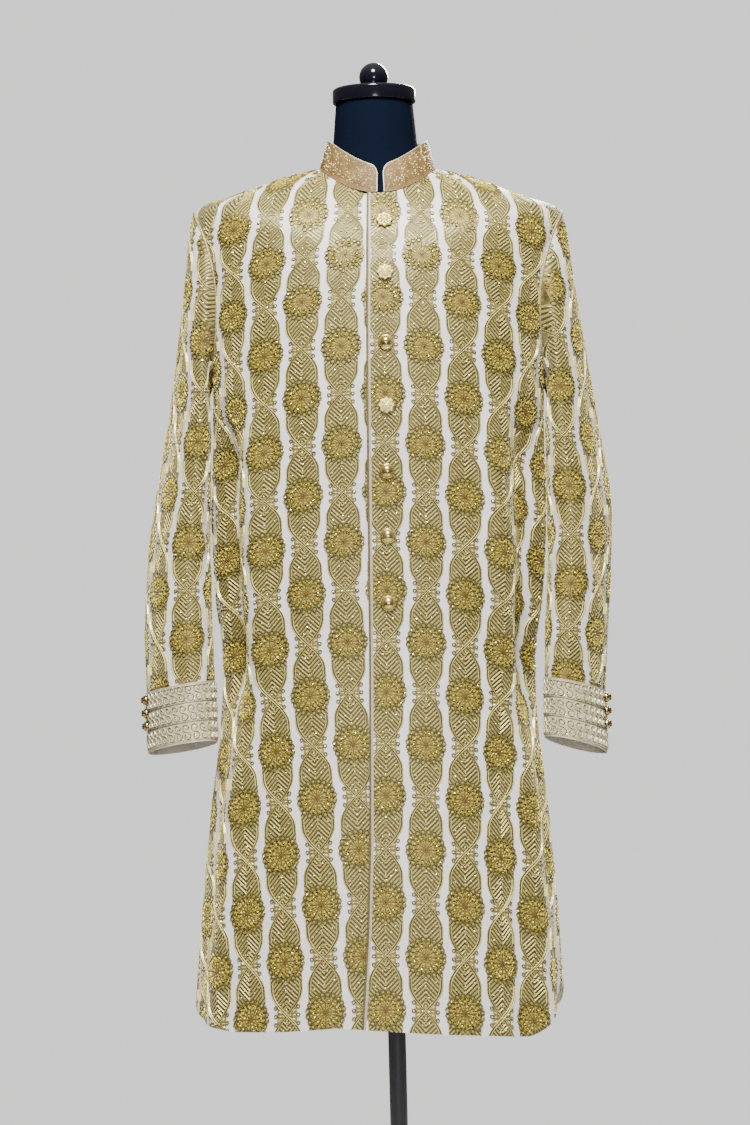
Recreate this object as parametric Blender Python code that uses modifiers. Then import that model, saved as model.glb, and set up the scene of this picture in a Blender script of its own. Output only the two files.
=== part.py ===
"""A knee-length sherwani coat on a limbless dress form and its stand.

Metres, +Z up, origin on the floor at the stand's axis. -Y is the coat's front
and +X is the wearer's left. Every cloth piece is a wall lofted between two
sets of points of one body surface or one sleeve surface, so that neighbours
share their seam lines.
"""

import math
from collections import namedtuple

import bpy
from mathutils import Vector

CLOTH = 0.0020
COLLAR_CLOTH = 0.0030
SEAM = 0.0003
LAP_AIR = 0.0006

# The coat hangs a little askew on the upright form: this much sideways for each metre down.
HANG_SLOPE = 0.0205
HANG_HEIGHT = 1.4365
HANG_SHIFT = 0.0010

# Rings of the body, neckline to below the hem. Heights are at centre front, at the sides and at
# centre back. The corner value squares the section off: 2 is an ellipse.
Ring = namedtuple("Ring", "half_width front back z_front z_side z_back corner")
BODY = [
    Ring(0.0720, 0.0780, 0.0700, 1.4520, 1.4905, 1.507, 2.00),
    Ring(0.1200, 0.0930, 0.0880, 1.4290, 1.4785, 1.486, 2.05),
    Ring(0.1850, 0.1060, 0.1020, 1.4020, 1.4548, 1.455, 2.10),
    Ring(0.2275, 0.1150, 0.1110, 1.3720, 1.4370, 1.415, 2.15),
    Ring(0.2265, 0.1220, 0.1160, 1.3350, 1.3900, 1.370, 2.25),
    Ring(0.2180, 0.1280, 0.1180, 1.2850, 1.3400, 1.310, 2.30),
    Ring(0.2115, 0.1310, 0.1170, 1.2400, 1.2800, 1.260, 2.35),
    Ring(0.2060, 0.1320, 0.1140, 1.1950, 1.2220, 1.210, 2.40),
    Ring(0.2050, 0.1310, 0.1090, 1.1450, 1.1600, 1.155, 2.45),
    Ring(0.2080, 0.1280, 0.1030, 1.0600, 1.0600, 1.060, 2.50),
    Ring(0.2035, 0.1255, 0.1010, 0.9600, 0.9600, 0.960, 2.50),
    Ring(0.1950, 0.1245, 0.1030, 0.8900, 0.8900, 0.890, 2.50),
    Ring(0.1965, 0.1290, 0.1130, 0.8000, 0.8000, 0.800, 2.50),
    Ring(0.2080, 0.1350, 0.1240, 0.7000, 0.7000, 0.700, 2.45),
    Ring(0.2180, 0.1410, 0.1330, 0.6000, 0.6000, 0.600, 2.40),
    Ring(0.2250, 0.1465, 0.1390, 0.5100, 0.5100, 0.510, 2.35),
    Ring(0.2305, 0.1500, 0.1430, 0.4400, 0.4400, 0.440, 2.30),
    Ring(0.2350, 0.1530, 0.1460, 0.3700, 0.3700, 0.370, 2.30),
]
SHOULDER_ROW = 3
UNDERARM_ROW = 7
WAIST_ROW = 12
HEM_ROW = 16
HEM_RING_Z = 0.440
HEM_ROW_Z = 0.070

# Soft folds of the body: where they lie round the coat, how far they drift on the way down, their
# breadth, how far they stand out (or in, below zero), and between which heights.
Fold = namedtuple("Fold", "turn drift breadth rise top bottom")
FOLDS = [
    Fold(-56, -2, 5.0, 0.0060, 1.22, 0.80),
    Fold(-70, -2, 8.0, -0.0135, 1.22, 0.76),
    Fold(51, 12, 5.0, 0.0055, 1.22, 0.78),
    Fold(65, 10, 8.0, -0.0130, 1.22, 0.76),
    Fold(-74, -6, 4.5, -0.0065, 0.84, 0.30),
    Fold(-63, -6, 4.5, 0.0050, 0.84, 0.30),
    Fold(56, 3, 4.5, -0.0055, 0.84, 0.30),
    Fold(66, 4, 4.5, 0.0050, 0.84, 0.30),
    Fold(76, 4, 4.0, -0.0060, 0.80, 0.30),
    Fold(-22, -4, 9.0, 0.0022, 0.74, 0.30),
    Fold(24, 4, 9.0, 0.0022, 0.70, 0.30),
    Fold(126, -4, 8.0, -0.0055, 0.98, 0.30),
    Fold(148, -3, 8.0, 0.0050, 1.06, 0.30),
    Fold(178, 2, 7.0, -0.0050, 0.96, 0.30),
    Fold(208, 3, 8.0, 0.0050, 1.02, 0.30),
    Fold(232, 4, 8.0, -0.0055, 0.94, 0.30),
    Fold(165, 4, 12.0, -0.0035, 1.34, 1.02),
    Fold(200, -4, 12.0, -0.0030, 1.32, 1.00),
]
FOLD_FADE = 0.10

# Hem height round the coat, by turn from centre front.
HEM = [
    (-100, 0.437), (-80, 0.438), (-60, 0.4315), (-38, 0.437), (-20, 0.4425), (0, 0.439),
    (25, 0.4345), (45, 0.4300), (60, 0.4240), (80, 0.4180), (100, 0.421), (140, 0.430),
    (180, 0.433), (220, 0.434), (260, 0.437),
]
# How far along the hem and how far up each panel's rounded corners reach.
HEM_CORNER = {"front_left": (0.095, 0.072), "front_right": (0.050, 0.016), "back": (0.080, 0.050)}
HEM_CORNER_CURVE = 1.3

# Front edge of the upper lap, across from centre front, by height.
LAP_EDGE = [(0.440, -0.0205), (0.500, -0.0170), (0.555, -0.0137), (0.660, -0.0108),
            (0.895, -0.0103), (1.110, -0.0117), (1.265, -0.0125), (1.460, -0.0115)]
LAP_UNDER = 0.032
LAP_BLEND = 0.022

SLIT_TOP = 0.790
SLIT_GAP = 0.010
SIDE_SEAM_DRIFT = {1: -2.0, -1: 4.0}
# Arc length near the sides for a turn of one radian, as a share of the half width.
SIDE_ARC = 0.9

ARMHOLE_TURN = 17.0
SLEEVE_COLUMNS = 20
ARMHOLE_ROWS = SLEEVE_COLUMNS // 2
YOKE_ROWS = 4
LOWER_ROWS = 12
FRONT_COLUMNS = 20
BACK_COLUMNS = 30

# Rings of a sleeve below the underarm: height of the centre, nearest and farthest reach from centre
# front, middle and half depth front to back, and the slopes of the ring sideways and to the back.
SleeveRing = namedtuple("SleeveRing", "z inner outer middle half_depth fall_out fall_back")
SLEEVES = {
    1: [
        SleeveRing(1.170, 0.2075, 0.2775, 0.0020, 0.0740, 0.00, 0.00),
        SleeveRing(1.080, 0.2090, 0.2905, -0.0020, 0.0690, 0.00, 0.00),
        SleeveRing(1.000, 0.2100, 0.2895, -0.0090, 0.0650, 0.00, 0.00),
        SleeveRing(0.925, 0.2060, 0.2850, -0.0200, 0.0605, 0.08, 0.05),
        SleeveRing(0.848, 0.2045, 0.2800, -0.0310, 0.0560, 0.20, 0.10),
        SleeveRing(0.774, 0.2045, 0.2800, -0.0430, 0.0530, 0.22, 0.15),
        SleeveRing(0.700, 0.2045, 0.2800, -0.0550, 0.0500, 0.24, 0.20),
    ],
    -1: [
        SleeveRing(1.170, 0.2075, 0.2655, 0.0020, 0.0740, 0.00, 0.00),
        SleeveRing(1.080, 0.2090, 0.2790, -0.0020, 0.0690, 0.00, 0.00),
        SleeveRing(1.000, 0.2095, 0.2885, -0.0090, 0.0650, 0.00, 0.00),
        SleeveRing(0.925, 0.2070, 0.2915, -0.0200, 0.0610, 0.08, 0.05),
        SleeveRing(0.846, 0.2040, 0.2885, -0.0310, 0.0565, 0.16, 0.10),
        SleeveRing(0.772, 0.2015, 0.2845, -0.0430, 0.0530, 0.14, 0.15),
        SleeveRing(0.698, 0.2000, 0.2820, -0.0550, 0.0500, 0.12, 0.20),
    ],
}
SLEEVE_TWIST = math.tan(math.radians(14))
SLEEVE_STEP = 0.02
HEAD_ROWS = 5
SLEEVE_ROWS = 10
CUFF_TOP = 5.0
CUFF_END = 6.0
CUFF_TUCK = 0.14
CUFF_ROWS = 4
HEAD_STEP = 0.0005
# How a sleeve leaves its armhole: outwards all round, outwards and on at front and back, down all
# round, and down more at the shoulder tip.
HEAD_LEAVE = (0.018, 0.032, 0.050, 0.075)

# Collar band: top edge sizes and heights, and the notch between its ends.
COLLAR_TOP = Ring(0.0625, 0.0670, 0.0600, 1.4865, 1.5250, 1.535, 2.0)
COLLAR_DIP = 1.5
COLLAR_SEAM = 0.0004
COLLAR_CORNER = 0.014
NOTCH_X = 0.0035
NOTCH_TOP = 0.0016
NOTCH_BASE = 0.0034
COLLAR_COLUMNS = 34
COLLAR_CROWD = 0.05
COLLAR_ROWS = 5

# Heights of the front buttons, and how far they sit from centre front at the top and at the foot.
BUTTON_HEIGHTS = [1.4146, 1.3500, 1.2650, 1.1890, 1.1100, 1.0320, 0.9510]
BUTTON_X = (0.0079, 0.0110)
BUTTON_RADIUS = 0.0085
CUFF_BUTTON_RADIUS = 0.0058
CUFF_BUTTON_TURN = 8.0
CUFF_BUTTON_PLACES = (0.13, 0.35, 0.57)

# The form: how far its surface lies inside the coat's outer surface, by row, and its neck.
FORM_INSET = [(0, 0.0032), (2, 0.0033), (3, 0.0036), (5, 0.0065), (6, 0.0110), (7, 0.0170),
              (8, 0.0210), (9, 0.0230), (11, 0.0280), (12, 0.0290)]
FORM_FRONT_INSET = 0.0030
LAP_TURN = 22.0
FORM_COLUMNS = 40
FORM_BOTTOM = 0.8000
NECK = [
    Ring(0.0480, 0.0480, 0.0480, 1.5730, 1.5730, 1.5730, 2.0),
    Ring(0.0505, 0.0505, 0.0505, 1.5430, 1.5450, 1.5460, 2.0),
    Ring(0.0525, 0.0530, 0.0520, 1.5060, 1.5230, 1.5300, 2.0),
    Ring(0.0555, 0.0590, 0.0545, 1.4720, 1.5050, 1.5190, 2.0),
    Ring(0.0620, 0.0670, 0.0605, 1.4570, 1.4955, 1.5115, 2.0),
]
CAP_RADIUS = 0.0517
CAP_THICK = 0.0180
KNOB_RADIUS = 0.0180
KNOB_NECK = 0.0108
POLE_RADIUS = 0.0110
FLANGE_RADIUS = 0.0450
BASE_RADIUS = 0.1900
BASE_THICK = 0.0120
TURN_STEPS = 24


def smooth(low, high, value):
    """0 below low, 1 above high, and an S curve between."""
    share = min(max((value - low) / (high - low), 0.0), 1.0)
    return share * share * (3 - 2 * share)


def between(table, place):
    """Linear reading of a table of (place, value) pairs."""
    if place <= table[0][0]:
        return table[0][1]
    for (low, first), (high, second) in zip(table, table[1:]):
        if place <= high:
            return first + (second - first) * (place - low) / (high - low)
    return table[-1][1]


def spline_row(rows, place):
    """The table's row at a place between its rows, on a Catmull-Rom curve through them."""
    last = len(rows) - 1
    index = min(max(math.floor(place), 0), last - 1)
    share = place - index
    start, end = rows[index], rows[index + 1]
    before = rows[index - 1] if index > 0 else [2 * a - b for a, b in zip(start, end)]
    after = rows[index + 2] if index + 2 <= last else [2 * b - a for a, b in zip(start, end)]
    values = []
    for p0, p1, p2, p3 in zip(before, start, end, after):
        curve = 2 * p1 + (p2 - p0) * share
        curve += (2 * p0 - 5 * p1 + 4 * p2 - p3) * share**2
        curve += (3 * p1 - p0 - 3 * p2 + p3) * share**3
        values.append(curve / 2)
    return type(rows[0])(*values)


def hang(point, share=1.0):
    """Moves a point from the coat's own upright place to where the askew coat has it."""
    across = HANG_SHIFT + HANG_SLOPE * (point.z - HANG_HEIGHT)
    return Vector((point.x + across * share, point.y, point.z - HANG_SLOPE * point.x * share))


def ring_point(ring, turn, dip=2.0):
    """Point of a ring at a turn in degrees from centre front towards +X."""
    angle = math.radians(turn)
    sine, cosine = math.sin(angle), math.cos(angle)
    depth, end = (ring.front, ring.z_front) if cosine > 0 else (ring.back, ring.z_back)
    reach = abs(sine / ring.half_width) ** ring.corner + abs(cosine / depth) ** ring.corner
    radius = reach ** (-1 / ring.corner)
    rise = (end - ring.z_side) * (1 - abs(sine) ** dip)
    return Vector((radius * sine, -radius * cosine, ring.z_side + rise))


def fold_rise(turn, height):
    """How far the folds push the cloth out at a turn and a height."""
    total = 0.0
    for fold in FOLDS:
        fallen = min(max((fold.top - height) / (fold.top - fold.bottom), 0.0), 1.0)
        away = (turn - fold.turn - fold.drift * fallen + 180) % 360 - 180
        here = smooth(fold.bottom, fold.bottom + FOLD_FADE, height)
        here *= 1 - smooth(fold.top - FOLD_FADE, fold.top, height)
        total += fold.rise * here * math.exp(-((away / fold.breadth) ** 2))
    return total


def outward(surface, row, turn):
    """Unit normal of a surface whose row runs down and whose turn runs from centre front to +X."""
    down = surface(row + 0.01, turn) - surface(row - 0.01, turn)
    across = surface(row, turn + 0.2) - surface(row, turn - 0.2)
    return down.cross(across).normalized()


def plain_body(row, turn):
    return ring_point(spline_row(BODY, row), turn)


def body(row, turn):
    """The coat's outer surface with its folds."""
    point = plain_body(row, turn)
    rise = fold_rise(turn, point.z)
    if abs(rise) < 1e-6:
        return point
    return point + outward(plain_body, row, turn) * rise


def in_cloth(row, turn, depth):
    """Point a depth inside the coat's outer surface, hung."""
    return hang(body(row, turn) - outward(body, row, turn) * depth)


def row_at(height):
    """The row where centre front has this height."""
    low, high = 0.0, float(len(BODY) - 1)
    for _ in range(40):
        middle = (low + high) / 2
        if spline_row(BODY, middle).z_front > height:
            low = middle
        else:
            high = middle
    return low


def panel_rows():
    """Rows of every body panel: yoke, armhole, then shares of the way from underarm to hem."""
    yoke = [SHOULDER_ROW * i / YOKE_ROWS for i in range(YOKE_ROWS)]
    reach = (UNDERARM_ROW - SHOULDER_ROW) / 2
    arm = [SHOULDER_ROW + reach * (1 - math.cos(math.pi * i / ARMHOLE_ROWS))
           for i in range(ARMHOLE_ROWS + 1)]
    lower = [UNDERARM_ROW + (HEM_ROW - UNDERARM_ROW) * i / LOWER_ROWS
             for i in range(1, LOWER_ROWS + 1)]
    return yoke + arm + lower


def side_turn(row, side):
    """Turn of the panel edge at the shoulder seam, the armhole and the side seam, without gaps."""
    if row <= SHOULDER_ROW:
        return 90.0
    if row < UNDERARM_ROW:
        reach = (UNDERARM_ROW - SHOULDER_ROW) / 2
        angle = math.acos(1 - (row - SHOULDER_ROW) / reach)
        return 90.0 - ARMHOLE_TURN * math.sin(angle)
    fallen = (row - UNDERARM_ROW) / (HEM_ROW - UNDERARM_ROW)
    return 90.0 + SIDE_SEAM_DRIFT[side] * fallen


def edge_gap(row):
    """Half the gap beside a side edge, in degrees: a seam, or below the seat the open slit."""
    ring = spline_row(BODY, row)
    gap = SEAM / 2
    if ring.z_side < SLIT_TOP:
        gap += SLIT_GAP / 2 * (SLIT_TOP - ring.z_side) / (SLIT_TOP - HEM_RING_Z)
    return math.degrees(gap / ring.half_width)


def front_edge(row, side):
    """Turn of a front panel's edge at the front opening."""
    ring = spline_row(BODY, row)
    across = between(LAP_EDGE, ring.z_front)
    if side < 0:
        across += LAP_AIR + LAP_UNDER
    return math.degrees(math.asin(across / ring.front))


def lap_depth(row, turn):
    """How far the under front lies inside the surface where the upper one covers it."""
    ring = spline_row(BODY, row)
    across = ring.front * math.sin(math.radians(turn))
    edge = between(LAP_EDGE, ring.z_front)
    return (CLOTH + LAP_AIR) * smooth(edge - LAP_BLEND, edge, across)


def hem_row(row, turn, from_edge, corner):
    """Row stretched to the hem of its column, which is rounded near a slit's edge."""
    if row <= WAIST_ROW:
        return row
    height = between(HEM, turn)
    along, up = corner
    if from_edge < along:
        height += up * (1 - from_edge / along) ** HEM_CORNER_CURVE
    last = HEM_ROW + (HEM_RING_Z - height) / HEM_ROW_Z
    return WAIST_ROW + (row - WAIST_ROW) * (last - WAIST_ROW) / (HEM_ROW - WAIST_ROW)


def wall(name, outer, inner, material, closed=False):
    """Solid between two like grids of points, row by row from top to bottom."""
    rows, columns = len(outer), len(outer[0])
    faces = []
    spans = columns if closed else columns - 1
    count = rows * columns

    def quad(a, b, c, d):
        faces.append((a, b, c, d))
        faces.append((d + count, c + count, b + count, a + count))

    def rim(a, b):
        faces.append((a, b, b + count, a + count))

    for i in range(rows - 1):
        for j in range(spans):
            right = (j + 1) % columns
            quad(i * columns + j, (i + 1) * columns + j, (i + 1) * columns + right,
                 i * columns + right)
    for j in range(spans):
        right = (j + 1) % columns
        rim(j, right)
        rim((rows - 1) * columns + right, (rows - 1) * columns + j)
    if not closed:
        for i in range(rows - 1):
            rim((i + 1) * columns, i * columns)
            rim((i + 1) * columns - 1, (i + 2) * columns - 1)
    points = [point for grid in (outer, inner) for row in grid for point in row]
    return add_mesh(name, points, faces, material)


def add_mesh(name, points, faces, material):
    mesh = bpy.data.meshes.new(name)
    mesh.from_pydata([tuple(point) for point in points], [], faces)
    mesh.validate()
    mesh.materials.append(material)
    mesh.shade_smooth()
    mesh.set_sharp_from_angle(angle=math.radians(40))
    piece = bpy.data.objects.new(name, mesh)
    garment.objects.link(piece)
    return piece


def make_material(name, colour, roughness, metallic=0.0):
    material = bpy.data.materials.new(name)
    material.use_nodes = True
    shader = material.node_tree.nodes["Principled BSDF"]
    shader.inputs["Base Color"].default_value = (*colour, 1.0)
    shader.inputs["Roughness"].default_value = roughness
    shader.inputs["Metallic"].default_value = metallic
    return material


def make_front(name, side, material):
    """One front, from its opening edge to the shoulder seam, armhole and side seam."""
    outer, inner = [], []
    last = FRONT_COLUMNS - 1
    for row in panel_rows():
        start = front_edge(row, side)
        end = side * (side_turn(row, side) - edge_gap(row))
        outer_row, inner_row = [], []
        for j in range(FRONT_COLUMNS):
            turn = start + (end - start) * j / last
            ring = spline_row(BODY, row)
            from_edge = abs(end - turn) * math.radians(ring.half_width) * SIDE_ARC
            place = hem_row(row, turn, from_edge, HEM_CORNER[name])
            sunk = lap_depth(place, turn) if side < 0 else 0.0
            outer_row.append(in_cloth(place, turn, sunk))
            inner_row.append(in_cloth(place, turn, sunk + CLOTH))
        if side < 0:
            outer_row.reverse()
            inner_row.reverse()
        outer.append(outer_row)
        inner.append(inner_row)
    return wall(name, outer, inner, material)


def make_back(material):
    outer, inner = [], []
    last = BACK_COLUMNS - 1
    for row in panel_rows():
        if SHOULDER_ROW < row < UNDERARM_ROW:
            start = 180 - side_turn(row, 1)
            end = 180 + side_turn(row, -1)
        else:
            start = side_turn(row, 1) + edge_gap(row)
            end = 360 - side_turn(row, -1) - edge_gap(row)
        outer_row, inner_row = [], []
        for j in range(BACK_COLUMNS):
            turn = start + (end - start) * j / last
            ring = spline_row(BODY, row)
            from_edge = min(turn - start, end - turn) * math.radians(ring.half_width) * SIDE_ARC
            place = hem_row(row, turn, from_edge, HEM_CORNER["back"])
            outer_row.append(in_cloth(place, turn, 0.0))
            inner_row.append(in_cloth(place, turn, CLOTH))
        outer.append(outer_row)
        inner.append(inner_row)
    return wall("back", outer, inner, material)


def armhole_point(angle, side):
    """Point of the armhole: 0 at the shoulder tip, 90 in front, 180 at the underarm."""
    turn = math.radians(angle)
    reach = (UNDERARM_ROW - SHOULDER_ROW) / 2
    row = SHOULDER_ROW + reach * (1 - math.cos(turn))
    point = body(row, side * (90 - ARMHOLE_TURN * math.sin(turn)))
    step = HEAD_STEP + CLOTH * max(0.0, math.cos(turn)) ** 0.7
    return point + Vector((side * step, 0, 0))


def sleeve_ring_point(place, angle, side):
    """Point of a sleeve ring: 0 at the outer side, 90 in front, 180 next to the body."""
    ring = spline_row(SLEEVES[side], place)
    turn = math.radians(angle)
    across = SLEEVE_TWIST * ring.half_depth
    half = math.sqrt(((ring.outer - ring.inner) / 2) ** 2 - across**2)
    out = half * math.cos(turn) - across * math.sin(turn)
    forward = ring.half_depth * math.sin(turn)
    point_z = ring.z - ring.fall_out * out + ring.fall_back * forward
    return Vector((side * ((ring.inner + ring.outer) / 2 + out), ring.middle - forward, point_z))


def sleeve(place, angle, side):
    """Sleeve surface: below 0 it blends from the armhole at -1 to the first ring."""
    if place >= 0:
        return sleeve_ring_point(place, angle, side)
    turn = math.radians(angle)
    share = place + 1
    start = armhole_point(angle, side)
    end = sleeve_ring_point(0, angle, side)
    top = max(0.0, math.cos(turn))
    leave = Vector((side * (HEAD_LEAVE[0] + HEAD_LEAVE[1] * abs(math.sin(turn))),
                    -HEAD_LEAVE[1] * math.sin(turn), -HEAD_LEAVE[2] - HEAD_LEAVE[3] * top))
    arrive = (sleeve_ring_point(SLEEVE_STEP, angle, side) - end) / SLEEVE_STEP
    return (start * (2 * share**3 - 3 * share**2 + 1) + leave * (share**3 - 2 * share**2 + share)
            + end * (3 * share**2 - 2 * share**3) + arrive * (share**3 - share**2))


def in_sleeve(place, angle, side, depth):
    """Point a depth inside the sleeve's outer surface, hung."""
    down = sleeve(place + SLEEVE_STEP, angle, side) - sleeve(place - SLEEVE_STEP, angle, side)
    round_ = sleeve(place, angle - 1, side) - sleeve(place, angle + 1, side)
    normal = down.cross(round_).normalized() * side
    return hang(sleeve(place, angle, side) - normal * depth)


def sleeve_grid(places, side, depth):
    step = 360 / SLEEVE_COLUMNS
    return [[in_sleeve(place, -side * step * j, side, depth) for j in range(SLEEVE_COLUMNS)]
            for place in places]


def make_sleeve(name, side, material):
    head = [-1 + i / HEAD_ROWS for i in range(HEAD_ROWS)]
    arm = [(CUFF_TOP - 1 + CUFF_TUCK) * i / SLEEVE_ROWS for i in range(SLEEVE_ROWS + 1)]
    places = head + arm
    return wall(name, sleeve_grid(places, side, 0.0), sleeve_grid(places, side, CLOTH),
                material, closed=True)


def cuff_place(share):
    return CUFF_TOP - 1 + share * (CUFF_END - CUFF_TOP)


def make_cuff(name, side, material):
    places = [cuff_place(i / CUFF_ROWS) for i in range(CUFF_ROWS + 1)]
    return wall(name, sleeve_grid(places, side, -SEAM - CLOTH), sleeve_grid(places, side, -SEAM),
                material, closed=True)


def collar_point(share, turn):
    """Collar's outer side: share 0 on the neckline, 1 at the top edge."""
    base = ring_point(BODY[0], turn) + Vector((0, 0, COLLAR_SEAM))
    top = ring_point(COLLAR_TOP, turn, COLLAR_DIP)
    return base.lerp(top, share)


def make_collar(material):
    """Stand-up band: columns run from the notch round the neck and back to it."""
    outer, inner = [], []
    for i in range(COLLAR_ROWS):
        share = 1 - i / (COLLAR_ROWS - 1)
        outer_row, inner_row = [], []
        for j in range(COLLAR_COLUMNS):
            half = NOTCH_BASE + (NOTCH_TOP - NOTCH_BASE) * share
            start = math.degrees(math.asin((NOTCH_X + half) / BODY[0].front))
            end = 360 + math.degrees(math.asin((NOTCH_X - half) / BODY[0].front))
            along = j / (COLLAR_COLUMNS - 1)
            turn = start + (end - start) * (along - COLLAR_CROWD * math.sin(2 * math.pi * along))
            from_edge = min(turn - start, end - turn) * math.radians(BODY[0].front)
            height = (collar_point(1, turn) - collar_point(0, turn)).length
            cut = 0.0
            if from_edge < COLLAR_CORNER:
                run = COLLAR_CORNER - from_edge
                cut = (COLLAR_CORNER - math.sqrt(COLLAR_CORNER**2 - run**2)) / height
            here = share * (1 - cut)
            point = collar_point(here, turn)
            rise = collar_point(1, turn) - collar_point(0, turn)
            across = collar_point(here, turn + 0.5) - collar_point(here, turn - 0.5)
            normal = across.cross(rise).normalized()
            outer_row.append(hang(point))
            inner_row.append(hang(point - normal * COLLAR_CLOTH))
        outer.append(outer_row)
        inner.append(inner_row)
    return wall("collar", outer, inner, material)


def turned(name, profile, steps, material):
    """Solid of revolution about Z from a profile of (radius, height), top to bottom."""
    mesh = bpy.data.meshes.new(name)
    points = [(radius, 0.0, height) for radius, height in profile]
    mesh.from_pydata(points, [(i, i + 1) for i in range(len(points) - 1)], [])
    mesh.materials.append(material)
    piece = bpy.data.objects.new(name, mesh)
    garment.objects.link(piece)
    screw = piece.modifiers.new("turn", "SCREW")
    screw.steps = steps
    screw.render_steps = steps
    screw.use_merge_vertices = True
    screw.merge_threshold = 0.00005
    screw.use_smooth_shade = True
    return piece


def button_profile(radius):
    """Domed shank button, top to bottom, in shares of its radius."""
    shape = [(0.0, 0.78), (0.42, 0.74), (0.76, 0.58), (0.95, 0.36), (1.0, 0.25), (0.94, 0.16),
             (0.26, 0.12), (0.26, 0.0), (0.0, 0.0)]
    return [(across * radius, up * radius) for across, up in shape]


def set_on(piece, point, normal):
    """Stands a turned piece on a point of the cloth, along the cloth's normal."""
    piece.location = point + normal * SEAM
    piece.rotation_mode = "QUATERNION"
    piece.rotation_quaternion = normal.to_track_quat("Z", "Y")


def make_buttons(material):
    for number, height in enumerate(BUTTON_HEIGHTS, 1):
        row = row_at(height)
        top, foot = BUTTON_HEIGHTS[0], BUTTON_HEIGHTS[-1]
        share = (top - height) / (top - foot)
        across = BUTTON_X[0] + (BUTTON_X[1] - BUTTON_X[0]) * share
        turn = math.degrees(math.asin(across / spline_row(BODY, row).front))
        point = in_cloth(row, turn, 0.0)
        normal = (point - in_cloth(row, turn, CLOTH)).normalized()
        piece = turned(f"button_{number}", button_profile(BUTTON_RADIUS), 12, material)
        set_on(piece, point, normal)


def make_cuff_buttons(material):
    for letter, side in (("l", 1), ("r", -1)):
        for number, share in enumerate(CUFF_BUTTON_PLACES, 1):
            place = cuff_place(share)
            point = in_sleeve(place, CUFF_BUTTON_TURN, side, -SEAM - CLOTH)
            normal = (point - in_sleeve(place, CUFF_BUTTON_TURN, side, 0.0)).normalized()
            name = f"cuff_button_{letter}{number}"
            piece = turned(name, button_profile(CUFF_BUTTON_RADIUS), 10, material)
            set_on(piece, point, normal)


def form_point(row, turn):
    """Torso surface, inset from the coat, deeper down the front where two laps lie."""
    depth = between(FORM_INSET, row)
    aside = (turn + 180) % 360 - 180
    depth += FORM_FRONT_INSET * math.exp(-((aside / LAP_TURN) ** 4))
    point = plain_body(row, turn) - outward(plain_body, row, turn) * depth
    upright = smooth(UNDERARM_ROW, WAIST_ROW, row)
    point = hang(point, 1 - upright)
    if row >= WAIST_ROW:
        point.z = FORM_BOTTOM
    return point


def make_form(material):
    """Torso and neck as one closed solid, neck first and the flat underside last."""
    turns = [360 * j / FORM_COLUMNS for j in range(FORM_COLUMNS)]
    rows = [SHOULDER_ROW * i / YOKE_ROWS for i in range(YOKE_ROWS)]
    rows += [SHOULDER_ROW, 3.5, 4.2] + list(range(5, WAIST_ROW + 1))
    grid = [[ring_point(ring, turn) for turn in turns] for ring in NECK]
    grid += [[form_point(row, turn) for turn in turns] for row in rows]
    faces = []
    for i in range(len(grid) - 1):
        for j in range(FORM_COLUMNS):
            right = (j + 1) % FORM_COLUMNS
            top, low = i * FORM_COLUMNS, (i + 1) * FORM_COLUMNS
            faces.append((top + j, low + j, low + right, top + right))
    faces.append(tuple(range(FORM_COLUMNS)))
    faces.append(tuple(reversed(range((len(grid) - 1) * FORM_COLUMNS, len(grid) * FORM_COLUMNS))))
    return add_mesh("form_torso", [point for row in grid for point in row], faces, material)


def arc(radius, centre, start, end, count):
    """Points of an arc in a profile, from start to end degrees above the horizontal."""
    points = []
    for i in range(count):
        angle = math.radians(start + (end - start) * i / (count - 1))
        points.append((centre[0] + radius * math.cos(angle), centre[1] + radius * math.sin(angle)))
    return points


def make_cap_and_knob(plastic):
    bottom = NECK[0].z_side + SEAM
    top = bottom + CAP_THICK
    edge = 0.003
    profile = [(0.0, top)] + arc(edge, (CAP_RADIUS - edge, top - edge), 90, 0, 4)
    profile += [(CAP_RADIUS, bottom + 0.0015), (CAP_RADIUS - 0.0015, bottom), (0.0, bottom)]
    turned("neck_cap", profile, TURN_STEPS, plastic)
    seat = top + SEAM
    fall = math.degrees(math.acos(KNOB_NECK / KNOB_RADIUS))
    centre = seat + math.sqrt(KNOB_RADIUS**2 - KNOB_NECK**2)
    ball = arc(KNOB_RADIUS, (0.0, centre), 90, -fall, 10)
    profile = [(0.0, ball[0][1])] + ball[1:] + [(0.0, seat)]
    turned("knob", profile, TURN_STEPS, plastic)


def make_stand(metal):
    top = FORM_BOTTOM - SEAM
    foot = BASE_THICK + SEAM
    flange = 0.006
    boss = 0.030
    profile = [
        (0.0, top), (FLANGE_RADIUS, top), (FLANGE_RADIUS, top - flange),
        (0.020, top - flange - 0.004), (0.016, top - 0.045), (POLE_RADIUS, top - 0.048),
        (POLE_RADIUS, foot + 0.060), (0.019, foot + 0.058), (0.021, foot + 0.012),
        (boss, foot + 0.006), (boss, foot), (0.0, foot),
    ]
    turned("stand_pole", profile, TURN_STEPS, metal)
    edge = 0.004
    profile = [(0.0, BASE_THICK)] + arc(edge, (BASE_RADIUS - edge, BASE_THICK - edge), 90, 0, 4)
    profile += [(BASE_RADIUS, 0.001), (BASE_RADIUS - 0.001, 0.0), (0.0, 0.0)]
    turned("stand_base", profile, 2 * TURN_STEPS, metal)


def clear_scene():
    for piece in list(bpy.data.objects):
        bpy.data.objects.remove(piece)


clear_scene()
garment = bpy.data.collections.new("sherwani_on_form")
bpy.context.scene.collection.children.link(garment)

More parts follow.
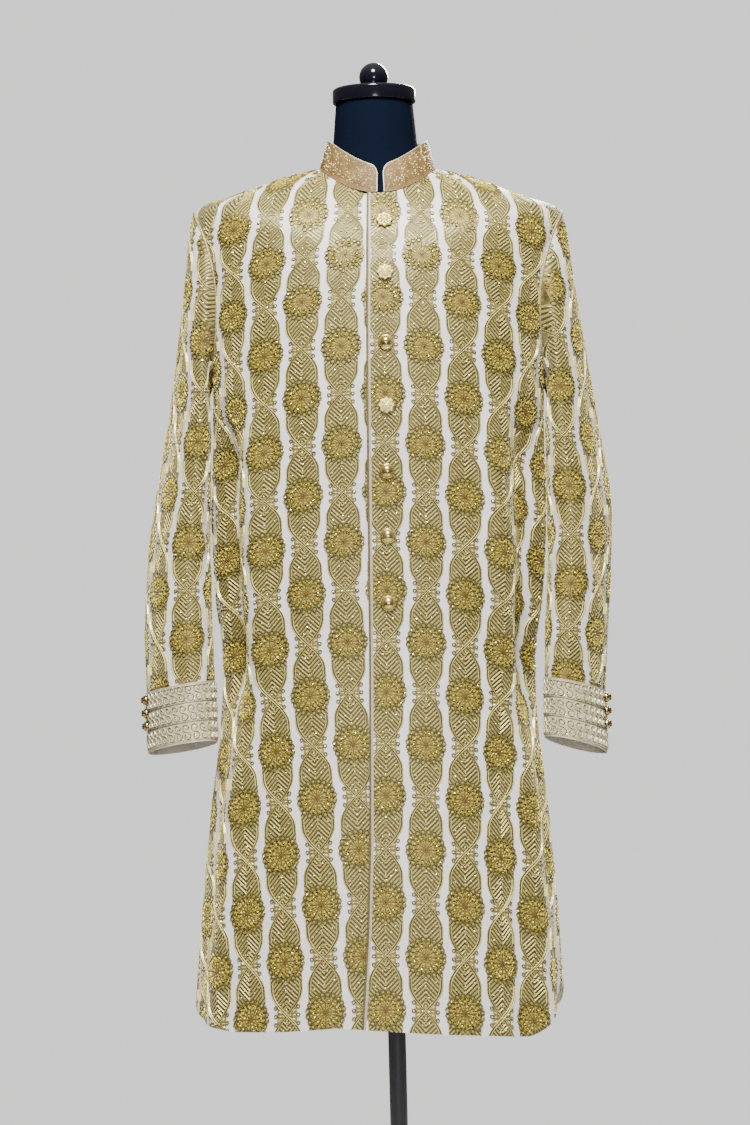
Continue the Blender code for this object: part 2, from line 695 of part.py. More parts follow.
silk = make_material("embroidered silk", (0.62, 0.50, 0.24), 0.55)
collar_silk = make_material("collar cloth", (0.58, 0.38, 0.22), 0.50)
cuff_silk = make_material("cuff cloth", (0.64, 0.58, 0.46), 0.55)
brass = make_material("antique gold metal", (0.72, 0.55, 0.25), 0.30, 1.0)
jersey = make_material("navy black jersey", (0.010, 0.013, 0.028), 0.85)
plastic = make_material("black gloss plastic", (0.008, 0.008, 0.012), 0.18)
black_metal = make_material("black painted metal", (0.010, 0.010, 0.012), 0.35)

make_front("front_left", 1, silk)
make_front("front_right", -1, silk)
make_back(silk)
for name, side in (("left", 1), ("right", -1)):
    make_sleeve(f"sleeve_{name}", side, silk)
    make_cuff(f"cuff_{name}", side, cuff_silk)
make_collar(collar_silk)
make_buttons(brass)
make_cuff_buttons(brass)
make_form(jersey)
make_cap_and_knob(plastic)
make_stand(black_metal)
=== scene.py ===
# %% [markdown]
# # A knee-length sherwani on a dress form
#
# A sherwani is a long South Asian coat with a stand-up collar. This one is ivory silk, covered
# from shoulder to hem with columns of gold embroidery. The lesson dresses a plain imported model:
# its panels give the places, and every shape below is worked out from the same tables. The model
# is loaded first and never moved.

# %% Load the imported part
import math
from collections import namedtuple

import bmesh
import bpy
import numpy as np
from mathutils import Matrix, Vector


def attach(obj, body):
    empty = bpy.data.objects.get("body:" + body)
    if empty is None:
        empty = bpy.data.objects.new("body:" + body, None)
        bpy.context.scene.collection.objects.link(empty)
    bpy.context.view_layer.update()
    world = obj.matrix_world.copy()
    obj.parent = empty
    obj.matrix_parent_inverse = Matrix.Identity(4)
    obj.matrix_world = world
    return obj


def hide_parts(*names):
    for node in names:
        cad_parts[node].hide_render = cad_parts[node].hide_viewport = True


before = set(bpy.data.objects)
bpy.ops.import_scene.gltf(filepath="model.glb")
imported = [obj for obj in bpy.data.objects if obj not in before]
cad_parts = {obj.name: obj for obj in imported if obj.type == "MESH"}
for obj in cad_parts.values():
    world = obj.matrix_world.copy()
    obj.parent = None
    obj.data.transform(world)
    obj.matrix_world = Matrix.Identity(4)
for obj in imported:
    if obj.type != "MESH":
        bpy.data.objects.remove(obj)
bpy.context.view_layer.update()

# %% [markdown]
# ## The coat's measures
#
# The cutter's block is a short table of rings round the body, from the neckline down to below the
# hem. A ring has a half width, a depth in front and behind, and three heights. A corner value
# squares it off: 2 is an ellipse. The whole coat hangs a little askew on its form.

# %% Rings of the body
CLOTH = 0.0020
COLLAR_CLOTH = 0.0030
SEAM = 0.0003
LAP_AIR = 0.0006
HANG_SLOPE = 0.0205
HANG_HEIGHT = 1.4365
HANG_SHIFT = 0.0010

Ring = namedtuple("Ring", "half_width front back z_front z_side z_back corner")
BODY = [
    Ring(0.0720, 0.0780, 0.0700, 1.4520, 1.4905, 1.507, 2.00),
    Ring(0.1200, 0.0930, 0.0880, 1.4290, 1.4785, 1.486, 2.05),
    Ring(0.1850, 0.1060, 0.1020, 1.4020, 1.4548, 1.455, 2.10),
    Ring(0.2275, 0.1150, 0.1110, 1.3720, 1.4370, 1.415, 2.15),
    Ring(0.2265, 0.1220, 0.1160, 1.3350, 1.3900, 1.370, 2.25),
    Ring(0.2180, 0.1280, 0.1180, 1.2850, 1.3400, 1.310, 2.30),
    Ring(0.2115, 0.1310, 0.1170, 1.2400, 1.2800, 1.260, 2.35),
    Ring(0.2060, 0.1320, 0.1140, 1.1950, 1.2220, 1.210, 2.40),
    Ring(0.2050, 0.1310, 0.1090, 1.1450, 1.1600, 1.155, 2.45),
    Ring(0.2080, 0.1280, 0.1030, 1.0600, 1.0600, 1.060, 2.50),
    Ring(0.2035, 0.1255, 0.1010, 0.9600, 0.9600, 0.960, 2.50),
    Ring(0.1950, 0.1245, 0.1030, 0.8900, 0.8900, 0.890, 2.50),
    Ring(0.1965, 0.1290, 0.1130, 0.8000, 0.8000, 0.800, 2.50),
    Ring(0.2080, 0.1350, 0.1240, 0.7000, 0.7000, 0.700, 2.45),
    Ring(0.2180, 0.1410, 0.1330, 0.6000, 0.6000, 0.600, 2.40),
    Ring(0.2250, 0.1465, 0.1390, 0.5100, 0.5100, 0.510, 2.35),
    Ring(0.2305, 0.1500, 0.1430, 0.4400, 0.4400, 0.440, 2.30),
    Ring(0.2350, 0.1530, 0.1460, 0.3700, 0.3700, 0.370, 2.30),
]
HALF_WIDTH, FRONT, BACK, Z_FRONT, Z_SIDE, Z_BACK, CORNER = range(7)
SHOULDER_ROW = 3
UNDERARM_ROW = 7
WAIST_ROW = 12
HEM_ROW = 16
HEM_RING_Z = 0.440
HEM_ROW_Z = 0.070
print("rings", len(BODY), "from", BODY[0].z_front, "down to", BODY[-1].z_front)

# %% [markdown]
# ## Folds and creases
#
# Cloth on a form isn't smooth. A fold is a soft ridge or trough that runs down the coat: a bell
# curve across, faded at both ends. The first table has the large folds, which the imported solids
# have too. The second has the small creases that only show from near: drag lines below the arms,
# waves above the hem, and a little slackness at the back waist.

# %% Fold tables
Fold = namedtuple("Fold", "turn drift breadth rise top bottom")
FOLDS = [
    Fold(-56, -2, 5.0, 0.0060, 1.22, 0.80),
    Fold(-70, -2, 8.0, -0.0135, 1.22, 0.76),
    Fold(51, 12, 5.0, 0.0055, 1.22, 0.78),
    Fold(65, 10, 8.0, -0.0130, 1.22, 0.76),
    Fold(-74, -6, 4.5, -0.0065, 0.84, 0.30),
    Fold(-63, -6, 4.5, 0.0050, 0.84, 0.30),
    Fold(56, 3, 4.5, -0.0055, 0.84, 0.30),
    Fold(66, 4, 4.5, 0.0050, 0.84, 0.30),
    Fold(76, 4, 4.0, -0.0060, 0.80, 0.30),
    Fold(-22, -4, 9.0, 0.0022, 0.74, 0.30),
    Fold(24, 4, 9.0, 0.0022, 0.70, 0.30),
    Fold(126, -4, 8.0, -0.0055, 0.98, 0.30),
    Fold(148, -3, 8.0, 0.0050, 1.06, 0.30),
    Fold(178, 2, 7.0, -0.0050, 0.96, 0.30),
    Fold(208, 3, 8.0, 0.0050, 1.02, 0.30),
    Fold(232, 4, 8.0, -0.0055, 0.94, 0.30),
    Fold(165, 4, 12.0, -0.0035, 1.34, 1.02),
    Fold(200, -4, 12.0, -0.0030, 1.32, 1.00),
]
CREASES = [
    Fold(-73, -2, 7.5, -0.0130, 1.20, 0.80),
    Fold(69, 8, 7.5, -0.0130, 1.20, 0.80),
    Fold(-55, -2, 5.0, 0.0030, 1.18, 0.82),
    Fold(50, 12, 5.0, 0.0030, 1.18, 0.82),
    Fold(-46, 6, 2.6, -0.0014, 1.34, 1.10),
    Fold(47, -6, 2.6, -0.0013, 1.33, 1.08),
    Fold(-38, -3, 3.2, 0.0010, 1.12, 0.86),
    Fold(39, 3, 3.4, 0.0011, 1.06, 0.80),
    Fold(-47, 1, 2.8, -0.0012, 0.78, 0.36),
    Fold(-33, -2, 3.0, -0.0010, 0.70, 0.36),
    Fold(-10, -1, 3.6, 0.0008, 0.64, 0.36),
    Fold(12, 1, 3.2, -0.0008, 0.66, 0.36),
    Fold(37, 2, 3.0, -0.0011, 0.74, 0.36),
    Fold(47, 2, 2.6, 0.0012, 0.72, 0.36),
    Fold(112, 0, 3.4, 0.0016, 0.86, 0.36),
    Fold(137, -2, 3.2, -0.0014, 0.84, 0.36),
    Fold(162, 2, 3.6, 0.0013, 0.80, 0.36),
    Fold(193, -2, 3.4, 0.0014, 0.82, 0.36),
    Fold(221, 3, 3.2, -0.0014, 0.86, 0.36),
    Fold(248, 0, 3.6, 0.0015, 0.80, 0.36),
    Fold(140, 8, 4.0, -0.0014, 1.36, 1.12),
    Fold(220, -8, 4.0, -0.0014, 1.35, 1.12),
]
FOLD_FADE = 0.10
print("folds", len(FOLDS), "creases", len(CREASES))

# %% [markdown]
# ## Hem, lap and slits
#
# The hem dips towards the sides and its corners are rounded off at the side slits. The wearer's
# left front laps over the right one, and the under front sinks by one cloth's thickness there.

# %% Hem and lap tables
HEM = [
    (-100, 0.437), (-80, 0.438), (-60, 0.4315), (-38, 0.437), (-20, 0.4425), (0, 0.439),
    (25, 0.4345), (45, 0.4300), (60, 0.4240), (80, 0.4180), (100, 0.421), (140, 0.430),
    (180, 0.433), (220, 0.434), (260, 0.437),
]
HEM_CORNER = {"front_left": (0.095, 0.072), "front_right": (0.050, 0.016), "back": (0.080, 0.050)}
HEM_CORNER_CURVE = 1.3
LAP_EDGE = [(0.440, -0.0205), (0.500, -0.0170), (0.555, -0.0137), (0.660, -0.0108),
            (0.895, -0.0103), (1.110, -0.0117), (1.265, -0.0125), (1.460, -0.0115)]
LAP_UNDER = 0.032
LAP_BLEND = 0.022
SLIT_TOP = 0.790
SLIT_GAP = 0.010
SIDE_SEAM_DRIFT = {1: -2.0, -1: 4.0}
SIDE_ARC = 0.9
ARMHOLE_TURN = 17.0
print("hem from", min(z for _, z in HEM), "to", max(z for _, z in HEM))

# %% [markdown]
# ## From tables to a surface
#
# Each function takes whole arrays, so a panel of ten thousand points is worked out at once. A
# Catmull-Rom curve passes through every ring, so that the sides run smoothly. The outward
# direction comes from two short steps along the surface and their cross product.


# %% Surface of the body
def smooth(low, high, value):
    """0 below low, 1 above high, and an S curve between."""
    share = np.clip((value - low) / (high - low), 0.0, 1.0)
    return share * share * (3 - 2 * share)


def between(table, place):
    """Linear reading of a table of (place, value) pairs."""
    return np.interp(place, *zip(*table))


def spline(table, place):
    """Rows of a table at places between its rows, on a Catmull-Rom curve through them."""
    rows = np.array(table, float)
    rows = np.vstack([2 * rows[0] - rows[1], rows, 2 * rows[-1] - rows[-2]])
    place = np.asarray(place, float)
    index = np.clip(np.floor(place).astype(int), 0, len(table) - 2)
    share = (place - index)[..., None]
    p0, p1, p2, p3 = (rows[index + k] for k in range(4))
    curve = 2 * p1 + (p2 - p0) * share + (2 * p0 - 5 * p1 + 4 * p2 - p3) * share**2
    return (curve + (3 * p1 - p0 - 3 * p2 + p3) * share**3) / 2


def ring_points(ring, turn, dip=2.0):
    """Points of rings at turns in degrees from centre front towards +X."""
    ring = np.moveaxis(np.asarray(ring, float), -1, 0)
    sine, cosine = np.sin(np.radians(turn)), np.cos(np.radians(turn))
    depth = np.where(cosine > 0, ring[FRONT], ring[BACK])
    end = np.where(cosine > 0, ring[Z_FRONT], ring[Z_BACK])
    reach = np.abs(sine / ring[HALF_WIDTH]) ** ring[CORNER] + np.abs(cosine / depth) ** ring[CORNER]
    radius = reach ** (-1 / ring[CORNER])
    height = ring[Z_SIDE] + (end - ring[Z_SIDE]) * (1 - np.abs(sine) ** dip)
    return np.stack([radius * sine, -radius * cosine, height], -1)


def unit(vectors):
    return vectors / np.linalg.norm(vectors, axis=-1, keepdims=True)


def outward(surface, row, turn):
    """Unit normals of a surface whose rows run down and whose turns run from front to +X."""
    down = surface(row + 0.01, turn) - surface(row - 0.01, turn)
    across = surface(row, turn + 0.2) - surface(row, turn - 0.2)
    return unit(np.cross(down, across))


def fold_rise(turn, height):
    """How far the folds and creases push the cloth out."""
    total = 0.0
    for fold in FOLDS + CREASES:
        fallen = np.clip((fold.top - height) / (fold.top - fold.bottom), 0.0, 1.0)
        away = (turn - fold.turn - fold.drift * fallen + 180) % 360 - 180
        here = smooth(fold.bottom, fold.bottom + FOLD_FADE, height)
        here = here * (1 - smooth(fold.top - FOLD_FADE, fold.top, height))
        total = total + fold.rise * here * np.exp(-((away / fold.breadth) ** 2))
    return total


def plain_body(row, turn):
    return ring_points(spline(BODY, row), turn)


def body(row, turn):
    """The coat's outer surface with its folds."""
    point = plain_body(row, turn)
    rise = fold_rise(turn, point[..., 2])
    return point + outward(plain_body, row, turn) * rise[..., None]


def hang(point, share=1.0):
    """Moves points from the coat's own upright place to where the askew coat has them."""
    x, y, z = np.moveaxis(point, -1, 0)
    across = HANG_SHIFT + HANG_SLOPE * (z - HANG_HEIGHT)
    return np.stack([x + across * share, y, z - HANG_SLOPE * x * share], -1)


print("centre of the chest", body(np.array(6.0), np.array(0.0)).round(4))

# %% [markdown]
# ## Charting the embroidery
#
# The embroiderer works on flat cloth, in columns of pointed ovals that cross between flowers.
# Neighbouring columns are half a repeat apart. So every panel needs its own flat coordinates in
# metres: u runs across, along the girth, and v runs down. The repeats grow a little towards the
# hem, as the table of flower heights says, and they dip towards the sides with the flare.

# %% Chart coordinates
COLUMN = 0.0480
REPEAT = 0.1220
FLOWER_HEIGHTS = [1.5460, 1.4266, 1.3210, 1.2040, 1.0858, 0.9670, 0.8440, 0.7198, 0.5926,
                  0.4642, 0.3358, 0.2074]
SIDE_DIP = 0.65
FIRST_FLOWER = -1.0
# How far the chart's columns lie beside centre front on the two fronts, by height.
COLUMN_SHIFT = {
    "front_left": [(0.46, 0.0055), (0.72, 0.007), (0.97, 0.009), (1.20, 0.008), (1.43, 0.004)],
    "front_right": [(0.46, 0.030), (0.59, 0.025), (0.72, 0.0195), (0.843, 0.0115), (0.967, 0.007),
                    (1.08, 0.004), (1.20, 0.0025), (1.317, 0.0035), (1.42, 0.0115)],
    "back": [(0.44, 0.0), (1.44, 0.0)],
}


def chart_down(point):
    """v of points of the body: the distance down the chart from the first flower."""
    height = point[..., 2] + SIDE_DIP * point[..., 0] ** 2
    places = FIRST_FLOWER + np.arange(len(FLOWER_HEIGHTS))
    return REPEAT * np.interp(height, FLOWER_HEIGHTS[::-1], places[::-1])


print("flowers down the front", len(FLOWER_HEIGHTS))

# %% [markdown]
# ## Panels
#
# A panel is a grid of points with normals and chart coordinates. Its columns are spaced evenly
# along the girth, so that the faces stay square. The rows follow the same plan as the solids:
# yoke, armhole, then down to the hem, crowded where the armhole turns.

# %% Fronts and back
Panel = namedtuple("Panel", "points normals u v free")
FINE_TURNS = 161
LAP_CLEAR = 0.0015
FACING = 0.0024
FREE_LIMIT = 0.02


def body_rows(yoke=14, arm=34, lower=108):
    half = (UNDERARM_ROW - SHOULDER_ROW) / 2
    return np.concatenate([
        np.linspace(0, SHOULDER_ROW, yoke, endpoint=False),
        SHOULDER_ROW + half * (1 - np.cos(np.linspace(0, math.pi, arm))),
        np.linspace(UNDERARM_ROW, HEM_ROW, lower)[1:],
    ])


def side_turn(row, side):
    """Turn of the panels' edge at the shoulder seam, the armhole and the side seam."""
    half = (UNDERARM_ROW - SHOULDER_ROW) / 2
    along = np.clip((row - SHOULDER_ROW) / half, 0, 2)
    bite = ARMHOLE_TURN * np.sin(np.arccos(1 - along))
    fallen = np.clip((row - UNDERARM_ROW) / (HEM_ROW - UNDERARM_ROW), 0, 1)
    return 90 + SIDE_SEAM_DRIFT[side] * fallen, bite


def edge_gap(row):
    """Half the gap beside a side edge, in degrees: a seam, or below the seat the open slit."""
    ring = spline(BODY, row)
    below = np.maximum(0, SLIT_TOP - ring[..., Z_SIDE]) / (SLIT_TOP - HEM_RING_Z)
    return np.degrees((SEAM / 2 + SLIT_GAP / 2 * below) / ring[..., HALF_WIDTH])


def lap_turn(row):
    """Turn of the upper lap's edge."""
    ring = spline(BODY, row)
    across = between(LAP_EDGE, ring[..., Z_FRONT])
    return np.degrees(np.arcsin(across / ring[..., FRONT])), across, ring


def panel_ends(name, row):
    """Turns where a panel starts and ends at each row."""
    left, bite_left = side_turn(row, 1)
    right, bite_right = side_turn(row, -1)
    gap = edge_gap(row)
    lap, across, ring = lap_turn(row)
    if name == "front_left":
        return lap, left - bite_left - gap
    if name == "front_right":
        under = across + LAP_AIR + LAP_UNDER
        return -(right - bite_right - gap), np.degrees(np.arcsin(under / ring[..., FRONT]))
    return left + bite_left + gap, 360 - right - bite_right - gap


def even_turns(row, start, end, columns):
    """Turns of a row of columns spaced evenly along the girth, and their distance from middle."""
    middle = 180.0 if start > 90 or end > 180 else 0.0
    turns = np.linspace(start, end, FINE_TURNS)
    walk = plain_body(np.full(FINE_TURNS, row), turns)[:, :2]
    length = np.concatenate([[0], np.cumsum(np.linalg.norm(np.diff(walk, axis=0), axis=1))])
    even = np.linspace(0, length[-1], columns)
    to_start = plain_body(np.full(FINE_TURNS, row), np.linspace(middle, start, FINE_TURNS))[:, :2]
    lead = np.linalg.norm(np.diff(to_start, axis=0), axis=1).sum() * np.sign(start - middle)
    return np.interp(even, length, turns), lead + even


def panel_places(name, turn, start, end, row):
    """Rows of the panel's points: stretched down to the hem, with its rounded corners."""
    if name == "back":
        edge = np.minimum(turn - start[:, None], end[:, None] - turn)
    else:
        edge = np.abs(turn - (end if name == "front_left" else start)[:, None])
    from_edge = edge * np.radians(spline(BODY, row)[:, None, HALF_WIDTH]) * SIDE_ARC
    along, up = HEM_CORNER[name]
    rounded = up * np.clip(1 - from_edge / along, 0, 1) ** HEM_CORNER_CURVE
    last = HEM_ROW + (HEM_RING_Z - between(HEM, turn) - rounded) / HEM_ROW_Z
    stretch = (last - WAIST_ROW) / (HEM_ROW - WAIST_ROW)
    return np.where(row[:, None] <= WAIST_ROW, row[:, None],
                    WAIST_ROW + (row[:, None] - WAIST_ROW) * stretch)


def hang_normals(points, normals):
    return unit(hang(points + normals) - hang(points))


def body_panel(name, columns):
    row = body_rows()
    start, end = panel_ends(name, row)
    pairs = [even_turns(r, a, b, columns) for r, a, b in zip(row, start, end)]
    turn = np.array([pair[0] for pair in pairs])
    across = np.array([pair[1] for pair in pairs])
    place = panel_places(name, turn, start, end, row)
    points = body(place, turn)
    normals = outward(body, place, turn)
    lap, edge_x, ring = lap_turn(place)
    free = np.full(turn.shape, FREE_LIMIT)
    if name == "front_left":
        free = np.clip(across - across[:, :1] - FACING, -FREE_LIMIT, FREE_LIMIT)
    if name == "front_right":
        x = ring[..., FRONT] * np.sin(np.radians(turn))
        sunk = (CLOTH + LAP_AIR) * smooth(edge_x - LAP_BLEND, edge_x, x)
        points = points - normals * sunk[..., None]
        free = np.clip(edge_x - LAP_CLEAR - x, -FREE_LIMIT, FREE_LIMIT)
    u = across - between(COLUMN_SHIFT[name], points[..., 2])
    v = chart_down(points)
    return Panel(hang(points), hang_normals(points, normals), u, v, free)


PANEL_COLUMNS = {"front_left": 46, "front_right": 46, "back": 84}
panels = {name: body_panel(name, columns) for name, columns in PANEL_COLUMNS.items()}
for name, panel in panels.items():
    print(name, panel.points.shape, "u", panel.u.min().round(3), panel.u.max().round(3))

# %% [markdown]
# ## Sleeves
#
# A set-in sleeve grows out of the armhole and hangs beside the body. Its lower part is a stack of
# slanted ovals. Its head is blended from the armhole's own points, so that the seam fits, and
# bends down over the shoulder. The cuffs lie on the same surface, just outside it.

# %% Sleeve surface
SleeveRing = namedtuple("SleeveRing", "z inner outer middle half_depth fall_out fall_back")
SLEEVES = {
    1: [
        SleeveRing(1.170, 0.2075, 0.2775, 0.0020, 0.0740, 0.00, 0.00),
        SleeveRing(1.080, 0.2090, 0.2905, -0.0020, 0.0690, 0.00, 0.00),
        SleeveRing(1.000, 0.2100, 0.2895, -0.0090, 0.0650, 0.00, 0.00),
        SleeveRing(0.925, 0.2060, 0.2850, -0.0200, 0.0605, 0.08, 0.05),
        SleeveRing(0.848, 0.2045, 0.2800, -0.0310, 0.0560, 0.20, 0.10),
        SleeveRing(0.774, 0.2045, 0.2800, -0.0430, 0.0530, 0.22, 0.15),
        SleeveRing(0.700, 0.2045, 0.2800, -0.0550, 0.0500, 0.24, 0.20),
    ],
    -1: [
        SleeveRing(1.170, 0.2075, 0.2655, 0.0020, 0.0740, 0.00, 0.00),
        SleeveRing(1.080, 0.2090, 0.2790, -0.0020, 0.0690, 0.00, 0.00),
        SleeveRing(1.000, 0.2095, 0.2885, -0.0090, 0.0650, 0.00, 0.00),
        SleeveRing(0.925, 0.2070, 0.2915, -0.0200, 0.0610, 0.08, 0.05),
        SleeveRing(0.846, 0.2040, 0.2885, -0.0310, 0.0565, 0.16, 0.10),
        SleeveRing(0.772, 0.2015, 0.2845, -0.0430, 0.0530, 0.14, 0.15),
        SleeveRing(0.698, 0.2000, 0.2820, -0.0550, 0.0500, 0.12, 0.20),
    ],
}
SLEEVE_TWIST = math.tan(math.radians(14))
SLEEVE_STEP = 0.02
HEAD_STEP = 0.0005
HEAD_LEAVE = (0.018, 0.032, 0.050, 0.075)
CUFF_TOP = 5.0
CUFF_END = 6.0
CUFF_TUCK = 0.14


def sleeve_ring_points(place, angle, side):
    """Points of sleeve rings: 0 at the outer side, 90 in front, 180 next to the body."""
    z, inner, outer, middle, depth, fall_out, fall_back = np.moveaxis(
        spline(SLEEVES[side], place), -1, 0)
    sine, cosine = np.sin(np.radians(angle)), np.cos(np.radians(angle))
    across = SLEEVE_TWIST * depth
    half = np.sqrt(((outer - inner) / 2) ** 2 - across**2)
    out = half * cosine - across * sine
    forward = depth * sine
    return np.stack([side * ((inner + outer) / 2 + out), middle - forward,
                     z - fall_out * out + fall_back * forward], -1)


def armhole_points(angle, side):
    """Points of the armhole: 0 at the shoulder tip, 90 in front, 180 at the underarm."""
    sine, cosine = np.sin(np.radians(angle)), np.cos(np.radians(angle))
    row = SHOULDER_ROW + (UNDERARM_ROW - SHOULDER_ROW) / 2 * (1 - cosine)
    point = body(row, side * (90 - ARMHOLE_TURN * sine))
    point[..., 0] += side * (HEAD_STEP + CLOTH * np.maximum(0, cosine) ** 0.7)
    return point


def sleeve(place, angle, side):
    """Sleeve surface: below 0 it blends from the armhole at -1 to the first ring."""
    place, angle = np.broadcast_arrays(place, angle)
    sine, cosine = np.sin(np.radians(angle)), np.cos(np.radians(angle))
    share = (place + 1)[..., None]
    start = armhole_points(angle, side)
    end = sleeve_ring_points(np.zeros_like(angle), angle, side)
    out, forward, fall, tip = HEAD_LEAVE
    leave = np.stack([side * (out + forward * np.abs(sine)), -forward * sine,
                      -fall - tip * np.maximum(0, cosine)], -1)
    arrive = sleeve_ring_points(np.full_like(angle, SLEEVE_STEP), angle, side) - end
    arrive = arrive / SLEEVE_STEP
    head = (start * (2 * share**3 - 3 * share**2 + 1) + leave * (share**3 - 2 * share**2 + share)
            + end * (3 * share**2 - 2 * share**3) + arrive * (share**3 - share**2))
    arm = sleeve_ring_points(np.maximum(place, 0), angle, side)
    return np.where((place >= 0)[..., None], arm, head)


def sleeve_normals(place, angle, side):
    down = sleeve(place + SLEEVE_STEP, angle, side) - sleeve(place - SLEEVE_STEP, angle, side)
    around = sleeve(place, angle - 1.0, side) - sleeve(place, angle + 1.0, side)
    return unit(np.cross(down, around)) * side


print("sleeve ends", sleeve(np.array(5.0), np.array(90.0), 1).round(3))

# %% [markdown]
# ## Sleeve creases
#
# A hanging sleeve breaks softly at the elbow, with short slanting creases inside the bend, and
# the head is slightly puckered where its fullness is eased into the armhole. These are small
# waves added along the normals. The columns of the embroidery run down the sleeve, so u is the
# distance round it from the line that faces forwards.

# %% Sleeve panels
SleeveCrease = namedtuple("SleeveCrease", "angle place long slant wide rise")
SLEEVE_CREASES = [
    SleeveCrease(120, 1.35, 0.45, 26, 11, -0.0026),
    SleeveCrease(128, 1.85, 0.40, 30, 10, 0.0022),
    SleeveCrease(118, 2.30, 0.45, 28, 11, -0.0024),
    SleeveCrease(60, 2.00, 0.60, -20, 13, 0.0018),
    SleeveCrease(70, 2.90, 0.50, -24, 12, -0.0018),
    SleeveCrease(28, 0.60, 0.70, 12, 14, -0.0016),
    SleeveCrease(95, 3.50, 0.45, 18, 13, 0.0014),
    SleeveCrease(235, 1.60, 0.60, -26, 14, -0.0024),
    SleeveCrease(262, 2.20, 0.55, 22, 13, 0.0020),
    SleeveCrease(292, 2.80, 0.60, -18, 14, -0.0018),
    SleeveCrease(320, 1.10, 0.70, 14, 15, 0.0016),
]
SEAM_ANGLE = 198.0
FRONT_ANGLE = 90.0
PUCKERS = 26
PUCKER_RISE = 0.0005
PUCKER_REACH = 0.55


def sleeve_rise(place, angle):
    total = 0.0
    for crease in SLEEVE_CREASES:
        down = (place - crease.place) / crease.long
        away = (angle - crease.angle - crease.slant * down + 180) % 360 - 180
        total = total + crease.rise * np.exp(-down**2) * np.exp(-((away / crease.wide) ** 2))
    head = smooth(-1 + PUCKER_REACH, -1, place) * smooth(-1.0, -0.94, place)
    top = np.clip(np.cos(np.radians(angle)) + 0.4, 0, 1)
    return total + PUCKER_RISE * head * top * np.sin(np.radians(angle) * PUCKERS)


def back_of_head(u, points, head, outer):
    """Chart u behind a sleeve's head: the level way round from the outer line."""
    height = np.minimum.accumulate(points[:, :, 2], axis=0)
    rows = head[:, 0]
    levels = points[rows][..., 2]

    def at_levels(values, column):
        order = np.argsort(height[:, column])
        return np.interp(levels, height[order, column], values[order, column])

    before = [at_levels(points[..., axis], outer) for axis in (0, 1)]
    way = at_levels(u, outer)
    found = u.copy()
    for column in range(outer + 1, u.shape[1]):
        here = [at_levels(points[..., axis], column) for axis in (0, 1)]
        way = way + np.hypot(here[0] - before[0], here[1] - before[1])
        found[rows, column] = way[:, column]
        before = here
    return found


def tube_panel(place, side, depth, columns, creased, facing):
    """A panel round the sleeve; its seam faces the body, and u is 0 where it says facing."""
    turn = np.linspace(SEAM_ANGLE, SEAM_ANGLE - 360, columns) * side
    if side < 0:
        turn = turn + 2 * SEAM_ANGLE
    angle = np.broadcast_to(turn, (len(place), columns))
    place = np.broadcast_to(place[:, None], angle.shape)
    points = sleeve(place, angle, side)
    normals = sleeve_normals(place, angle, side)
    rise = sleeve_rise(place, angle) if creased else 0 * place
    points = points + normals * (rise - depth)[..., None]
    step = np.linalg.norm(np.diff(points[..., :2], axis=1), axis=-1)
    u = np.concatenate([np.zeros((len(place), 1)), np.cumsum(step, axis=1)], 1)
    front = np.argmin(np.abs((angle[0] - facing + 180) % 360 - 180))
    u = u - u[:, front:front + 1]
    drop = np.linalg.norm(np.diff(points, axis=0), axis=-1).mean(1)
    v = np.concatenate([[0], np.cumsum(drop)])[:, None] + 0 * u
    level = int(np.argmin(np.abs(place[:, 0])))
    head = place < 0
    v = np.where(head, v[level] - (points[..., 2] - points[level, :, 2]), v)
    if creased:
        outer = int(np.argmin(np.abs((angle[0] + 180) % 360 - 180)))
        if side > 0:
            u = back_of_head(u, points, head, outer)
        else:
            u = -back_of_head(-u[:, ::-1], points[:, ::-1], head[:, ::-1],
                              columns - 1 - outer)[:, ::-1]
    return Panel(hang(points), hang_normals(points, normals), u, v, np.full(u.shape, FREE_LIMIT))


SLEEVE_FLOWER = {1: 0.002, -1: 0.054}
SLEEVE_STRETCH = {1: 1.0, -1: 0.982}
HEAD_ROWS = 24
ARM_ROWS = 72
SLEEVE_COLUMNS = 50
sides = {"left": 1, "right": -1}
for name, side in sides.items():
    place = np.concatenate([np.linspace(-1, 0, HEAD_ROWS, endpoint=False),
                            np.linspace(0, CUFF_TOP - 1 + CUFF_TUCK, ARM_ROWS)])
    panel = tube_panel(place, side, 0.0, SLEEVE_COLUMNS, True, FRONT_ANGLE)
    free = np.where((place < CUFF_TOP - 1 - 0.02)[:, None], FREE_LIMIT, -FREE_LIMIT) + 0 * panel.u
    above_cuff = panel.v - panel.v[place <= CUFF_TOP - 1, 0].max()
    v = above_cuff * SLEEVE_STRETCH[side] + SLEEVE_FLOWER[side]
    panels[f"sleeve_{name}"] = panel._replace(free=free, v=v)
    print("sleeve", name, "girth", (panel.u[60, -1] - panel.u[60, 0]).round(3))

# %% [markdown]
# ## From a panel to a piece of cloth
#
# Real cloth has two faces and a cut edge, and a mesh for it should be closed too. The shell joins
# an outer grid and an inner one by a narrow rim. The outer face wears the silk, the inner one its
# plain lining. Meshes this large are written to Blender straight from arrays.


# %% Shells
def linked(name, data):
    """Puts a mesh, a lamp or a camera into the scene as an object."""
    piece = bpy.data.objects.new(name, data)
    bpy.context.scene.collection.objects.link(piece)
    return piece


def wear(piece, node=None):
    """Fixes a piece to the root body, and may put it in a solid's place."""
    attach(piece, "root")
    if node:
        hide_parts(node)
    return piece


def smooth_piece(name, points, faces, material, corner=None):
    """A smooth object from lists, sharp where faces meet at more than the corner's degrees."""
    mesh = bpy.data.meshes.new(name)
    mesh.from_pydata(points.tolist(), [], faces)
    mesh.materials.append(material)
    mesh.shade_smooth()
    if corner:
        mesh.set_sharp_from_angle(angle=math.radians(corner))
    return linked(name, mesh)


